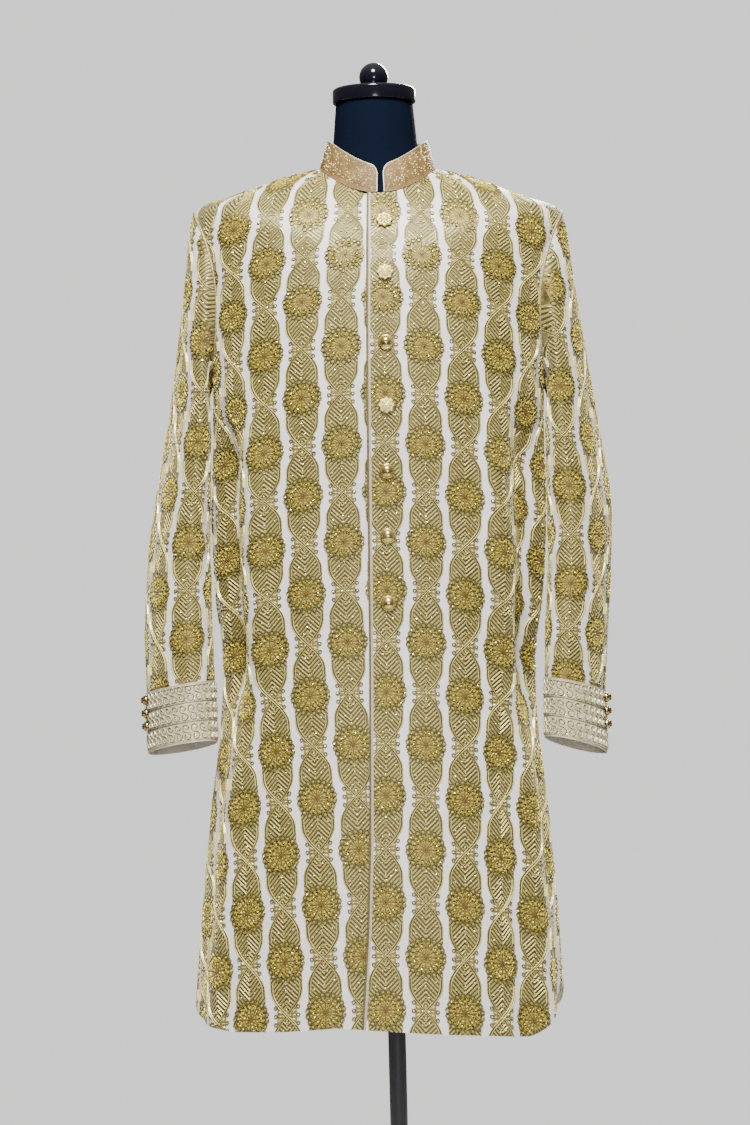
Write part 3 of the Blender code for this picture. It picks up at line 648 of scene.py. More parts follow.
def mesh_piece(name, points, faces, materials, slots=None, chart=None, soft=True):
    """An object from arrays: faces are equal-sided, slots is a material number for each face."""
    faces = np.asarray(faces, np.int32)
    mesh = bpy.data.meshes.new(name)
    mesh.vertices.add(len(points))
    mesh.vertices.foreach_set("co", np.asarray(points, np.float32).ravel())
    count, corners = faces.shape
    mesh.loops.add(count * corners)
    mesh.loops.foreach_set("vertex_index", faces.ravel())
    mesh.polygons.add(count)
    mesh.polygons.foreach_set("loop_start", np.arange(0, count * corners, corners, dtype=np.int32))
    for material in materials:
        mesh.materials.append(material)
    if slots is not None:
        mesh.polygons.foreach_set("material_index", np.asarray(slots, np.int32))
    mesh.polygons.foreach_set("use_smooth", np.full(count, soft))
    if chart is not None:
        layer = mesh.uv_layers.new(name="chart")
        layer.uv.foreach_set("vector", np.asarray(chart, np.float32)[faces.ravel()].ravel())
    mesh.update(calc_edges=True)
    mesh.validate()
    return linked(name, mesh)


def grid_faces(rows, columns, first=0, flip=False):
    i, j = np.meshgrid(np.arange(rows - 1), np.arange(columns - 1), indexing="ij")
    a = (i * columns + j).ravel() + first
    quads = np.stack([a, a + columns, a + columns + 1, a + 1], 1)
    return quads[:, ::-1] if flip else quads


def rim_faces(rows, columns, closed):
    """Faces that join the outer grid's border to the inner grid's."""
    count = rows * columns
    top = np.arange(columns)
    foot = top + (rows - 1) * columns
    border = [(top[:-1], top[1:]), (foot[1:], foot[:-1])]
    if not closed:
        left = np.arange(rows) * columns
        right = left + columns - 1
        border += [(left[1:], left[:-1]), (right[:-1], right[1:])]
    return np.concatenate([np.stack([a, b, b + count, a + count], 1) for a, b in border])


def cloth_piece(name, panel, thickness, silk, lining, closed=False):
    rows, columns = panel.u.shape
    inner = panel.points - panel.normals * thickness
    outer_faces = grid_faces(rows, columns)
    inner_faces = grid_faces(rows, columns, rows * columns, True)
    rim = rim_faces(rows, columns, closed)
    slots = np.repeat([0, 1, 0], [len(outer_faces), len(inner_faces), len(rim)])
    points = np.concatenate([panel.points.reshape(-1, 3), inner.reshape(-1, 3)])
    chart = np.stack([panel.u.ravel(), panel.v.ravel()], 1)
    faces = np.concatenate([outer_faces, inner_faces, rim])
    piece = mesh_piece(name, points, faces, [silk, lining], slots, np.tile(chart, (2, 1)))
    if closed:
        weld(piece)
    piece.data.set_sharp_from_angle(angle=math.radians(50))
    return piece


def weld(piece, reach=1e-5):
    """Joins the two edges of a tube that lie on each other."""
    work = bmesh.new()
    work.from_mesh(piece.data)
    bmesh.ops.remove_doubles(work, verts=work.verts, dist=reach)
    work.to_mesh(piece.data)
    work.free()


# %% [markdown]
# ## Shader maths as expressions
#
# The silk's pattern is worked out in its material, from the chart. In Blender that is a tree of
# small Math nodes, which is slow to wire by hand. A class that wraps a socket lets the same tree
# be written as arithmetic: each operator adds its node and returns the new socket, wrapped.


# %% Wires and finishes
class Wire:
    """A socket in an expression: every operator adds a Math node to its finish."""

    def __init__(self, finish, socket):
        self.finish = finish
        self.socket = socket

    def maths(self, operation, *others):
        return self.finish.node("ShaderNodeMath", {"operation": operation},
                                dict(enumerate((self, *others))))

    def __add__(self, other):
        return self.maths("ADD", other)

    def __mul__(self, other):
        return self.maths("MULTIPLY", other)

    def __sub__(self, other):
        return self.maths("SUBTRACT", other)

    def __truediv__(self, other):
        return self.maths("DIVIDE", other)

    def __mod__(self, other):
        return self.maths("FLOORED_MODULO", other)

    def __rsub__(self, other):
        return self.finish.node("ShaderNodeMath", {"operation": "SUBTRACT"}, {0: other, 1: self})

    def __rtruediv__(self, other):
        return self.finish.node("ShaderNodeMath", {"operation": "DIVIDE"}, {0: other, 1: self})

    __radd__ = __add__
    __rmul__ = __mul__

    def __abs__(self):
        return self.maths("ABSOLUTE")

    def least(self, other):
        return self.maths("MINIMUM", other)

    def most(self, other):
        return self.maths("MAXIMUM", other)

    def step(self, low, high):
        """A soft step: 0 at low and 1 at high, which may be the smaller of the two."""
        flip = low > high
        settings = {"interpolation_type": "SMOOTHSTEP"}
        inputs = {"Value": self, "From Min": min(low, high), "From Max": max(low, high)}
        soft = self.finish.node("ShaderNodeMapRange", settings, inputs)
        return 1 - soft if flip else soft


class Finish:
    """A material with its Principled shader, and the one way that other nodes are added."""

    def __init__(self, name, colour, roughness, metallic=0.0, **constants):
        self.material = bpy.data.materials.new(name)
        self.material.use_nodes = True
        self.tree = self.material.node_tree
        self.shader = self.tree.nodes["Principled BSDF"]
        self.set("Base Color", (*colour, 1.0))
        self.set("Roughness", roughness)
        self.set("Metallic", metallic)
        for socket, value in constants.items():
            self.set(socket.replace("_", " "), value)

    def set(self, socket, value):
        """Feeds one of the shader's sockets."""
        self.feed(self.shader.inputs[socket], value)

    def feed(self, socket, value):
        if isinstance(value, Wire):
            self.tree.links.new(value.socket, socket)
        else:
            socket.default_value = value

    def node(self, kind, settings=None, inputs=None, output=0):
        node = self.tree.nodes.new(kind)
        for name, value in (settings or {}).items():
            if name == "stops":
                self.fill_ramp(node.color_ramp, value)
            else:
                setattr(node, name, value)
        for name, value in (inputs or {}).items():
            self.feed(node.inputs[name], value)
        return Wire(self, node.outputs[output])

    @staticmethod
    def fill_ramp(ramp, stops):
        while len(ramp.elements) < len(stops):
            ramp.elements.new(1.0)
        for element, (place, colour) in zip(ramp.elements, stops):
            element.position = place
            element.color = (*colour, 1.0)

    def mix(self, share, first, second):
        """A colour that goes from first to second."""
        tint = [value if isinstance(value, Wire) else (*value, 1.0) for value in (first, second)]
        return self.node("ShaderNodeMix", {"data_type": "RGBA"},
                         {0: share, 6: tint[0], 7: tint[1]}, output=2)

    def noise(self, scale, detail=2.0, where=None):
        """Noise in object coordinates, or in a vector given, from 0 to 1."""
        if where is None:
            where = self.node("ShaderNodeTexCoord", output=3)
        return self.node("ShaderNodeTexNoise", None,
                         {"Vector": where, "Scale": scale, "Detail": detail})

    def bump(self, height, distance, strength=1.0):
        self.set("Normal", self.node("ShaderNodeBump", None, {
            "Height": height, "Distance": distance, "Strength": strength}))


print("shader helpers ready")

# %% [markdown]
# ## The silk's ground
#
# The cream silk shows only in wavy stripes between the columns. Under the raised threads the
# ground is filled with darker olive stitches, painted darker still in the gaps between chevrons
# and between petals as painted shade. The shader repeats the chart: the distance from a column's
# axis and from its nearest flower says if a spot is in an oval, in a flower, or bare.

# %% Embroidered silk material
OVAL_HALF = 0.0188
OVAL_RUN = 0.0300
CORD_APART = 0.0016
CHEVRON = 0.0055
FLOWER_ACROSS = 0.0222
FLOWER_HIGH = 0.0208
PETALS = 20


def embroidered_silk():
    silk = Finish("embroidered ivory silk", (0.74, 0.72, 0.70), 0.45, Sheen_Weight=0.15)
    chart = silk.node("ShaderNodeUVMap", {"uv_map": "chart"})
    split = silk.node("ShaderNodeSeparateXYZ", None, {0: chart})
    u, v = split, Wire(silk, split.socket.node.outputs[1])
    column = (u / COLUMN + 0.5).maths("FLOOR")
    x = abs(u - column * COLUMN)
    phase = v / REPEAT + (column % 2) * 0.5
    y = abs((phase + 0.5) % 1 - 0.5) * REPEAT
    gap = REPEAT / 2 - y
    reach = (gap / OVAL_RUN).least(1.0) * (math.pi / 2)
    edge = reach.maths("SINE") * OVAL_HALF
    in_oval = (x - edge).step(0.0026, 0.0012)
    on_cord = abs(abs(x - edge) - CORD_APART).step(0.0008, 0.0003) * gap.step(0.038, 0.036)
    ring_gap = ((gap / 0.0095 + 0.5) % 1 - 0.5) * 0.0095
    from_ring = ((x - 0.0143).maths("POWER", 2) + ring_gap.maths("POWER", 2)).maths("SQRT")
    in_ring = from_ring.step(0.0029, 0.0024) * gap.step(0.0128, 0.0122)
    in_bow = (x.step(0.0130, 0.0120) * gap.step(0.0135, 0.0125)).most(in_ring)
    round_flower = y.maths("ARCTAN2", x) * (PETALS / (2 * math.pi))
    petal = abs(round_flower % 1 - 0.5) * 2
    radius = ((x / FLOWER_ACROSS).maths("POWER", 2) + (y / FLOWER_HIGH).maths("POWER", 2)).maths("SQRT")
    in_flower = (radius + petal * 0.07).step(1.16, 1.10)
    chevron = abs(((gap + x) / CHEVRON) % 1 - 0.5) * 2
    rings = abs((radius * 2.5) % 1 - 0.5) * 2
    fine = silk.noise(1100.0)
    patch = silk.noise(34.0)
    # The near-black ground between the painted chevrons is olive thread colour and painted shade
    # between the raised threads.
    ground = silk.mix(chevron.step(0.40, 0.62), (0.052, 0.040, 0.006), (0.36, 0.30, 0.08))
    channel = abs(x - edge).step(0.0032, 0.0026) * gap.step(0.038, 0.036)
    ground = silk.mix(channel, ground, (0.060, 0.047, 0.009))
    ground = silk.mix(on_cord, ground, (0.46, 0.39, 0.13))
    bow = silk.mix(fine.step(0.35, 0.6), (0.055, 0.042, 0.007), (0.26, 0.21, 0.06))
    # The dark ground between the petals is olive thread colour and painted shade between the raised
    # petals.
    flower = silk.mix(petal.step(0.75, 0.35) * (0.25 + rings * 0.75), (0.055, 0.040, 0.005),
                      (0.34, 0.27, 0.045))
    eyes = petal.step(0.50, 0.30) * abs(radius - 1.0).step(0.08, 0.04)
    rim = silk.mix(eyes, (0.125, 0.100, 0.022), (0.34, 0.285, 0.095))
    flower = silk.mix(radius.step(0.85, 0.90), flower, rim)
    flower = silk.mix(radius.step(0.40, 0.05), flower, (0.15, 0.095, 0.014))
    stitched = silk.mix(in_bow, ground, bow)
    ring_eyes = silk.mix(from_ring.step(0.0017, 0.0010), (0.080, 0.064, 0.016), (0.50, 0.44, 0.25))
    stitched = silk.mix(in_oval, stitched, ground)
    stitched = silk.mix(in_ring, stitched, ring_eyes)
    stitched = silk.mix(in_flower, stitched, flower)
    bare = silk.mix(patch.step(0.3, 0.75), (0.66, 0.62, 0.60), (0.73, 0.69, 0.65))
    cover = in_oval.most(in_flower).most(in_bow)
    silk.set("Base Color", silk.mix(cover, bare, stitched))
    silk.set("Metallic", cover * 0.30)
    silk.set("Roughness", 0.42 + fine * 0.15)
    silk.bump(cover * (0.6 + chevron * 0.4) + fine * 0.25, 0.0006, 0.6)
    return silk.material


def lining_cloth():
    lining = Finish("cream lining", (0.52, 0.47, 0.38), 0.5, Sheen_Weight=0.1)
    weave = lining.noise(700.0)
    lining.set("Base Color", lining.mix(weave, (0.46, 0.41, 0.33), (0.56, 0.51, 0.42)))
    lining.bump(weave, 0.0003, 0.5)
    return lining.material


silk = embroidered_silk()
lining = lining_cloth()
print("silk nodes", len(silk.node_tree.nodes))

# %% [markdown]
# ## Cutting the cloth
#
# Each panel becomes a piece, a little thinner than its solid. It stands for its solid and
# rides on the same body.

# %% Five cloth pieces
SHOWN_CLOTH = 0.0016


def face_area(piece):
    return sum(face.area for face in piece.data.polygons)


sewn = {}
for name, panel in panels.items():
    tube = name.startswith("sleeve")
    piece = cloth_piece(name + "_cloth", panel, SHOWN_CLOTH, silk, lining, closed=tube)
    sewn[name] = wear(piece, name)
    print(name, "faces", len(piece.data.polygons), "cloth area", round(face_area(piece) / 2, 3))

# %% [markdown]
# ## Stitches
#
# A raised stitch is a small closed solid with its foot in the cloth. Four kinds are enough: a
# cord that follows a path, a loop, a leaf, and a bead. They are drawn once in a cell of the
# chart, x across and y down from the flower's centre, with their height as z.

# %% Kinds of stitch
FOOT = -0.0004


def cord(path, width, height, closed=False):
    """A ridge with three sides along a path of (x, y), and two end faces if it isn't closed."""
    path = np.array(path, float)
    if closed:
        along = np.roll(path, -1, 0) - np.roll(path, 1, 0)
    else:
        along = np.gradient(path, axis=0)
    along = unit(along)
    side = np.stack([along[:, 1], -along[:, 0]], 1) * width / 2
    rows = len(path)
    points = np.zeros((rows, 3, 3))
    points[:, 0, :2], points[:, 1, :2], points[:, 2, :2] = path - side, path + side, path
    points[:, :2, 2], points[:, 2, 2] = FOOT, height
    faces = []
    for i in range(rows if closed else rows - 1):
        here, there = 3 * i, 3 * ((i + 1) % rows)
        for k in range(3):
            a, b = here + k, here + (k + 1) % 3
            c, d = there + (k + 1) % 3, there + k
            faces += [(a, c, b), (a, d, c)]
    if not closed:
        last = 3 * (rows - 1)
        faces += [(0, 1, 2), (last, last + 2, last + 1)]
    return points.reshape(-1, 3), np.array(faces)


def loop(centre, radius, width, height, sides=8):
    turn = np.arange(sides) * 2 * math.pi / sides
    return cord(np.stack([centre[0] + radius * np.cos(turn), centre[1] + radius * np.sin(turn)], 1),
                width, height, closed=True)


def leaf(start, end, width, height):
    """A pointed petal: four corners on the cloth and a raised middle."""
    start, end = np.array(start, float), np.array(end, float)
    along = unit(end - start)
    side = np.array([along[1], -along[0]]) * width / 2
    middle = start + (end - start) * 0.55
    points = [(*start, FOOT), (*(middle - side), FOOT), (*end, FOOT), (*(middle + side), FOOT),
              (*middle, height)]
    faces = [(0, 1, 2), (0, 2, 3), (1, 0, 4), (2, 1, 4), (3, 2, 4), (0, 3, 4)]
    return np.array(points), np.array(faces)


def bead(centre, radius, height):
    """A small faceted dome."""
    x, y = centre
    turn = np.arange(5) * 2 * math.pi / 5
    points = [(x + radius * math.cos(t), y + radius * math.sin(t), FOOT) for t in turn]
    points += [(x, y, height), (x, y, FOOT)]
    faces = []
    for k in range(5):
        faces += [(k, (k + 1) % 5, 5), ((k + 1) % 5, k, 6)]
    return np.array(points), np.array(faces)


def sequin(centre, radius, rim=0.0012):
    """A faceted disc on a point: its top is a flat pyramid, so that some facet catches light."""
    x, y = centre
    turn = np.arange(5) * 2 * math.pi / 5
    points = [(x + radius * math.cos(t), y + radius * math.sin(t), rim) for t in turn]
    points += [(x, y, rim + radius * 0.34), (x, y, FOOT)]
    faces = []
    for k in range(5):
        faces += [(k, (k + 1) % 5, 5), ((k + 1) % 5, k, 6)]
    return np.array(points), np.array(faces)


def signed_volume(points, faces):
    a, b, c = (points[faces[:, k]] for k in range(3))
    return float((np.cross(a, b) * c).sum() / 6)


for kind, (points, faces) in {"cord": cord([(0, 0), (1, 0)], 1, 1), "loop": loop((0, 0), 3, 1, 1),
                              "leaf": leaf((0, 0), (1, 0), 1, 1), "bead": bead((0, 0), 1, 1)}.items():
    print(kind, "triangles", len(faces), "volume", round(signed_volume(points, faces), 3))

# %% [markdown]
# ## One cell of the chart
#
# The cell holds one flower and the parts of four pointed ovals. Two cords bound each oval and
# cross where ovals meet. Chevrons of thread fill the ovals, the flower has rings of petals round
# a cluster of beads, and loops stand at its sides. Long lines are split, so that a stitch can be
# left out at the cloth's edge without losing the whole line.

# %% Draw the cell
MM = 0.001
THREADS = ["pale cord", "chevron thread", "flower thread", "dark loops", "sequins", "heart beads"]
cell = []


def sew(kind, stitch):
    points, faces = stitch
    cell.append((THREADS.index(kind), points, faces))


def oval_edge(gap):
    """Half width of an oval at a distance from the crossing."""
    return OVAL_HALF * np.sin(math.pi / 2 * np.minimum(gap / OVAL_RUN, 1))


CORD_PARTS = [(0.0, 6.0, 12.0), (12.0, 18.5, 25.0), (25.0, 31.0, 37.0)]
half_cell = REPEAT / 2
for end in (-1, 1):
    for side in (-1, 1):
        for apart in (-CORD_APART, CORD_APART):
            for part in CORD_PARTS:
                gap = np.linspace(part[0], part[-1], 4) * MM
                path = np.stack([side * oval_edge(gap) + apart, end * (half_cell - gap)], 1)
                sew("pale cord", cord(path, 0.0011, 0.0013))
        for number in range(2, 9):
            middle = number * CHEVRON
            arm = middle
            for _ in range(20):
                arm = float(oval_edge(max(middle - arm, 0.0))) - 0.0033
            if arm > 0.0015 and middle < 0.044:
                path = [(side * 0.0002, end * (half_cell - middle)),
                        (side * arm, end * (half_cell - middle + arm))]
                sew("chevron thread", cord(path, 0.0020, 0.0011))
    sew("pale cord", loop((0, end * (half_cell - 0.0145)), 0.0020, 0.0010, 0.0013, 6))
PETAL_ROWS = [(8, 0.0032, 0.0072, 0.0025, 0.0013), (12, 0.0070, 0.0118, 0.0032, 0.0014),
              (14, 0.0118, 0.0172, 0.0026, 0.0012), (20, 0.0170, 0.0196, 0.0030, 0.0012)]
for count, near, far, width, height in PETAL_ROWS:
    for k in range(count):
        turn = 2 * math.pi * (k + 0.5) / count
        ray = np.array([math.cos(turn), 0.94 * math.sin(turn)])
        sew("flower thread", leaf(ray * near, ray * far, width, height))
for k in range(PETALS):
    turn = 2 * math.pi * (k + 0.5) / PETALS
    where = (FLOWER_ACROSS * math.cos(turn), FLOWER_HIGH * math.sin(turn))
    sew("dark loops", loop(where, 0.0029, 0.0011, 0.0013, 6))
for k in range(12):
    turn = 2 * math.pi * (k + 0.5) / 12
    where = (0.0148 * math.cos(turn), 0.0139 * math.sin(turn))
    sew("flower thread", loop(where, 0.0029, 0.0011, 0.0016, 5))
sew("heart beads", bead((0, 0), 0.0013, 0.0022))
for k in range(6):
    turn = math.pi * k / 3
    sew("heart beads", bead((0.0023 * math.cos(turn), 0.0023 * math.sin(turn)), 0.0009, 0.0016))
for side in (-1, 1):
    for y in (-9.5, 0, 9.5):
        sew("dark loops", loop((side * 14.3 * MM, half_cell + y * MM), 0.0021, 0.0010, 0.0013, 6))
    for y in (-4.6, 4.6):
        x = side * 9.0 * MM
        sew("pale cord", leaf((x - side * 0.0036, half_cell + y * MM * 0.55),
                              (x + side * 0.0032, half_cell + y * MM * 1.35), 0.0032, 0.0013))
    sew("pale cord", leaf((side * 0.0050, half_cell), (side * 0.0118, half_cell), 0.0024, 0.0012))
SEQUINS = [(0, 25), (0, 32), (0, 39.5), (7, 34), (-7, 30), (12, 27), (-12, 36), (4, 45), (-4, 47.5),
           (0, 54), (15, 0), (9, 9.5), (-9, 9.5), (13, 7), (-13.5, 5), (5, 12.5), (-4.5, 13.5),
           (17.5, 13), (-16, 15), (22.5, 1.5)]
SEQUINS += [(-x, -y) for x, y in SEQUINS] + [(4.0, 61), (-4.0, 61), (14.3, 61), (-14.3, 61)]
for x, y in SEQUINS:
    sew("sequins", sequin((x * MM, y * MM), 0.00095, 0.0015))
triangles = sum(len(faces) for _, _, faces in cell)
print("stitches in a cell", len(cell), "triangles", triangles)

# %% [markdown]
# ## Laying the chart on the cloth
#
# To sew a stitch, the script has to know where on the panel a place of the chart lies. Newton's
# method finds it for all points at once: guess a place in the grid, see how far off its chart
# values are, and step across. Then each point is set on the cloth along the normal there.


# %% Find places of the chart on a panel
def grid_read(table, i, j):
    """Values between the rows and columns of a table, and beyond its border on the same slope."""
    i0 = np.clip(np.floor(i).astype(int), 0, table.shape[0] - 2)
    j0 = np.clip(np.floor(j).astype(int), 0, table.shape[1] - 2)
    a, b = i - i0, j - j0
    if table.ndim == 3:
        a, b = a[:, None], b[:, None]
    t00, t01 = table[i0, j0], table[i0, j0 + 1]
    t10, t11 = table[i0 + 1, j0], table[i0 + 1, j0 + 1]
    value = (t00 * (1 - a) + t10 * a) * (1 - b) + (t01 * (1 - a) + t11 * a) * b
    by_row = (t10 - t00) * (1 - b) + (t11 - t01) * b
    by_column = (t01 - t00) * (1 - a) + (t11 - t10) * a
    return value, by_row, by_column


def locate(panel, u, v, start):
    """Rows and columns of the grid for chart places, and if they lie on the panel."""
    rows, columns = panel.u.shape
    i, j = (np.zeros(u.shape) + guess for guess in start)
    for _ in range(14):
        here_u, u_i, u_j = grid_read(panel.u, i, j)
        here_v, v_i, v_j = grid_read(panel.v, i, j)
        det = u_i * v_j - u_j * v_i
        det = np.where(np.abs(det) < 1e-12, 1e-12, det)
        off_u, off_v = u - here_u, v - here_v
        i = np.clip(i + np.clip((off_u * v_j - u_j * off_v) / det, -12, 12), -3, rows + 2)
        j = np.clip(j + np.clip((u_i * off_v - off_u * v_i) / det, -8, 8), -3, columns + 2)
    near = np.abs(grid_read(panel.u, i, j)[0] - u) + np.abs(grid_read(panel.v, i, j)[0] - v) < 2e-4
    inside = (i > EDGE_ROWS) & (i < rows - 1 - EDGE_ROWS)
    inside &= (j > EDGE_ROWS) & (j < columns - 1 - EDGE_ROWS)
    return i, j, near & inside & (grid_read(panel.free, i, j)[0] > 0)


EDGE_ROWS = 0.15
stitch_points = np.concatenate([points for _, points, _ in cell])
stitch_of_point = np.repeat(np.arange(len(cell)), [len(points) for _, points, _ in cell])
first_point = np.cumsum([0] + [len(points) for _, points, _ in cell])
stitch_centre = np.array([points[:, :2].mean(0) for _, points, _ in cell])[stitch_of_point]
is_sequin = np.array([THREADS[kind] == "sequins" for kind, _, _ in cell])[stitch_of_point]
cell_faces = np.concatenate([faces + first_point[k] for k, (_, _, faces) in enumerate(cell)])
face_stitch = np.repeat(np.arange(len(cell)), [len(faces) for _, _, faces in cell])
face_thread = np.repeat([kind for kind, _, _ in cell], [len(faces) for _, _, faces in cell])


def sew_cell(panel, column, flower, jitter):
    """Points and faces of the cell's stitches that lie wholly on the panel."""
    centre_u, centre_v = column * COLUMN, (flower - 0.5 * (column % 2)) * REPEAT
    away = (panel.u - centre_u) ** 2 + (panel.v - centre_v) ** 2
    nearest = np.unravel_index(np.argmin(away), away.shape)
    if away[nearest] > 0.062**2:
        return None
    wander = jitter.normal(0, 0.00016, (len(cell), 2))[stitch_of_point]
    spin = jitter.uniform(0, 2 * math.pi, len(cell))[stitch_of_point] * is_sequin
    tilt = jitter.normal(0, 0.22, (len(cell), 2))[stitch_of_point] * is_sequin[:, None]
    arm = stitch_points[:, :2] - stitch_centre
    turned_x = arm[:, 0] * np.cos(spin) - arm[:, 1] * np.sin(spin)
    turned_y = arm[:, 0] * np.sin(spin) + arm[:, 1] * np.cos(spin)
    rise = stitch_points[:, 2] + turned_x * tilt[:, 0] + turned_y * tilt[:, 1]
    u = centre_u + stitch_centre[:, 0] + turned_x + wander[:, 0]
    v = centre_v + stitch_centre[:, 1] + turned_y + wander[:, 1]
    i, j, good = locate(panel, u, v, nearest)
    kept = np.ones(len(cell), bool)
    np.logical_and.at(kept, stitch_of_point, good)
    if not kept.any():
        return None
    lean = jitter.uniform(0.82, 1.12, len(cell))[stitch_of_point]
    height = np.where(rise > 0, rise * lean, rise)
    normal = unit(grid_read(panel.normals, i, j)[0])
    points = grid_read(panel.points, i, j)[0] + normal * height[:, None]
    keep_point = kept[stitch_of_point]
    number = np.cumsum(keep_point) - 1
    keep_face = kept[face_stitch]
    faces = number[cell_faces[keep_face]][:, ::-1]
    return points[keep_point], faces, face_thread[keep_face]


def embroider(name, panel, low=-9.0, high=9.0):
    """All cells of a panel between two v values as one object."""
    jitter = np.random.default_rng(len(name))
    columns = range(math.floor(panel.u.min() / COLUMN) - 1, math.ceil(panel.u.max() / COLUMN) + 2)
    flowers = range(math.floor(panel.v.min() / REPEAT) - 1, math.ceil(panel.v.max() / REPEAT) + 3)
    points, faces, threads, count = [], [], [], 0
    for column in columns:
        for flower in flowers:
            if not low <= flower - 0.5 * (column % 2) < high:
                continue
            sewn_cell = sew_cell(panel, column, flower, jitter)
            if sewn_cell is None:
                continue
            points.append(sewn_cell[0])
            faces.append(sewn_cell[1] + count)
            threads.append(sewn_cell[2])
            count += len(sewn_cell[0])
    piece = mesh_piece(name, np.concatenate(points), np.concatenate(faces), thread_finishes,
                       np.concatenate(threads), soft=False)
    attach(piece, "root")
    print(name, "cells", len(points), "triangles", len(piece.data.polygons))


# %% [markdown]
# ## Threads, loops and sequins
#
# Metal thread is a strip of gilt metal wound round silk, so it is half metal and not very smooth.
# Sequins are real metal foil and catch the light. Each finish is mottled a little, because no
# two stitches lie at the same angle.


# %% Thread finishes
def thread_finish(name, colour, dark, roughness, metallic):
    finish = Finish(name, colour, roughness, metallic)
    fine, broad = finish.noise(420.0), finish.noise(24.0)
    mottled = finish.mix(fine.step(0.30, 0.70), dark, colour)
    finish.set("Base Color", finish.mix(broad.step(0.45, 0.75) * 0.35, mottled, dark))
    finish.set("Roughness", roughness + fine * 0.15)
    return finish.material


thread_finishes = [
    thread_finish("pale gold cord", (0.86, 0.77, 0.36), (0.58, 0.49, 0.17), 0.32, 0.30),
    thread_finish("chevron thread", (0.68, 0.575, 0.21), (0.41, 0.33, 0.090), 0.34, 0.25),
    thread_finish("flower thread", (0.70, 0.575, 0.100), (0.36, 0.275, 0.030), 0.32, 0.35),
    thread_finish("dark antique loops", (0.25, 0.205, 0.05), (0.11, 0.085, 0.016), 0.36, 0.40),
    thread_finish("sequins", (1.00, 0.90, 0.50), (0.86, 0.70, 0.30), 0.22, 0.60),
    thread_finish("heart beads", (0.26, 0.15, 0.035), (0.12, 0.06, 0.014), 0.25, 0.30),
]
embroider("front_left_embroidery", panels["front_left"])
embroider("front_right_embroidery", panels["front_right"])
embroider("back_upper_embroidery", panels["back"], high=4.0)
embroider("back_lower_embroidery", panels["back"], low=4.0)
embroider("sleeve_left_embroidery", panels["sleeve_left"])
embroider("sleeve_right_embroidery", panels["sleeve_right"])

# %% [markdown]
# ## Cuffs
#
# The cuffs are separate bands of ivory cloth over the sleeves' ends. Three bands of scrollwork
# run round each, with stitched lines between, and a cord edges the top. The scrolls are cords
# that wind like a wave with curled tips, set on the cuff by the same chart method. Beside each
# scroll cord lies a darker cord, offset to one side, which is a painted shadow.

# %% Cuff cloth and scrolls
CUFF_LONG = 0.073
CUFF_BANDS = 3
SCROLL = 0.0105


def cuff_finish():
    cuff = Finish("cuff silk", (0.62, 0.57, 0.45), 0.42, 0.15, Sheen_Weight=0.15)
    fine, broad = cuff.noise(600.0), cuff.noise(60.0)
    cuff.set("Base Color", cuff.mix(broad.step(0.35, 0.70), (0.39, 0.345, 0.20), (0.54, 0.49, 0.315)))
    cuff.set("Roughness", 0.36 + fine * 0.2)
    cuff.bump(fine, 0.0004, 0.6)
    return cuff.material


def scroll_path(across, high):
    """An S whose two ends curl inwards, drawn as two arcs that share the middle."""
    turn = np.linspace(90, 420, 10)
    radius = np.interp(turn, [90, 250, 420], [1.0, 1.0, 0.42]) * high / 4
    x = radius * np.cos(np.radians(turn)) * 0.92
    y = radius * np.sin(np.radians(turn)) - high / 4
    upper = np.stack([x, y], 1)
    path = np.concatenate([upper[::-1], -upper[1:]])
    return path + (across, 0)


def cuff_stitches(girth):
    """Cords, lines and crystals of a whole cuff in its own chart: u round it and v down."""
    stitches = []
    band = CUFF_LONG / CUFF_BANDS
    for number in range(CUFF_BANDS):
        middle = band * (number + 0.5)
        count = int(girth / SCROLL)
        for k in range(count):
            across = (k + 0.5) * girth / count
            path = scroll_path(across, band * 0.80) + (0, middle)
            for part in (path[:7], path[6:13], path[12:]):
                # The dark cord offset to one side under each part of a scroll is a painted shadow, and
                # the pale cord on top is the thread.
                stitches.append((3, *cord(part + (0.0006, 0.0005), 0.0019, 0.0006)))
                stitches.append((0, *cord(part, 0.0015, 0.0014)))
            between_x = across + girth / count / 2
            for x, down in ((between_x, 0.37), (across, 0.22), (across, -0.22)):
                stitches.append((2, *sequin((x, middle + band * down), 0.0009)))
    lines = [0.0012, 0.0036] + [band * k for k in (1, 2)]
    lines += [CUFF_LONG - 0.0012]
    steps = 56
    for number, down in enumerate(lines):
        width = 0.0022 if number in (0, len(lines) - 1) else 0.0009
        for k in range(steps):
            u = np.linspace(k, k + 1.02, 3) * girth / steps
            kind = 1 if width > 0.001 else 3
            stitches.append((kind, *cord(np.stack([u, 0 * u + down], 1), width, 0.0008)))
    return stitches


def sew_free(name, panel, stitches, finishes):
    """Stitches drawn in a panel's own chart as one object."""
    points = np.concatenate([stitch[1] for stitch in stitches])
    owner = np.repeat(np.arange(len(stitches)), [len(stitch[1]) for stitch in stitches])
    first = np.cumsum([0] + [len(stitch[1]) for stitch in stitches])
    rows, columns = panel.u.shape
    middle = panel.u[rows // 2]
    start_j = np.interp(points[:, 0], middle, np.arange(columns))
    start_i = np.interp(points[:, 1], panel.v.mean(1), np.arange(rows))
    i, j, good = locate(panel, points[:, 0], points[:, 1], (start_i, start_j))
    kept = np.ones(len(stitches), bool)
    np.logical_and.at(kept, owner, good)
    normal = unit(grid_read(panel.normals, i, j)[0])
    placed = grid_read(panel.points, i, j)[0] + normal * points[:, 2:]
    keep_point = kept[owner]
    number = np.cumsum(keep_point) - 1
    faces = np.concatenate([stitch[2] + first[k] for k, stitch in enumerate(stitches) if kept[k]])
    kinds = np.concatenate([np.full(len(stitch[2]), stitch[0])
                            for k, stitch in enumerate(stitches) if kept[k]])
    piece = mesh_piece(name, placed[keep_point], number[faces][:, ::-1], finishes, kinds, soft=False)
    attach(piece, "root")
    print(name, "stitches", int(kept.sum()), "triangles", len(piece.data.polygons))


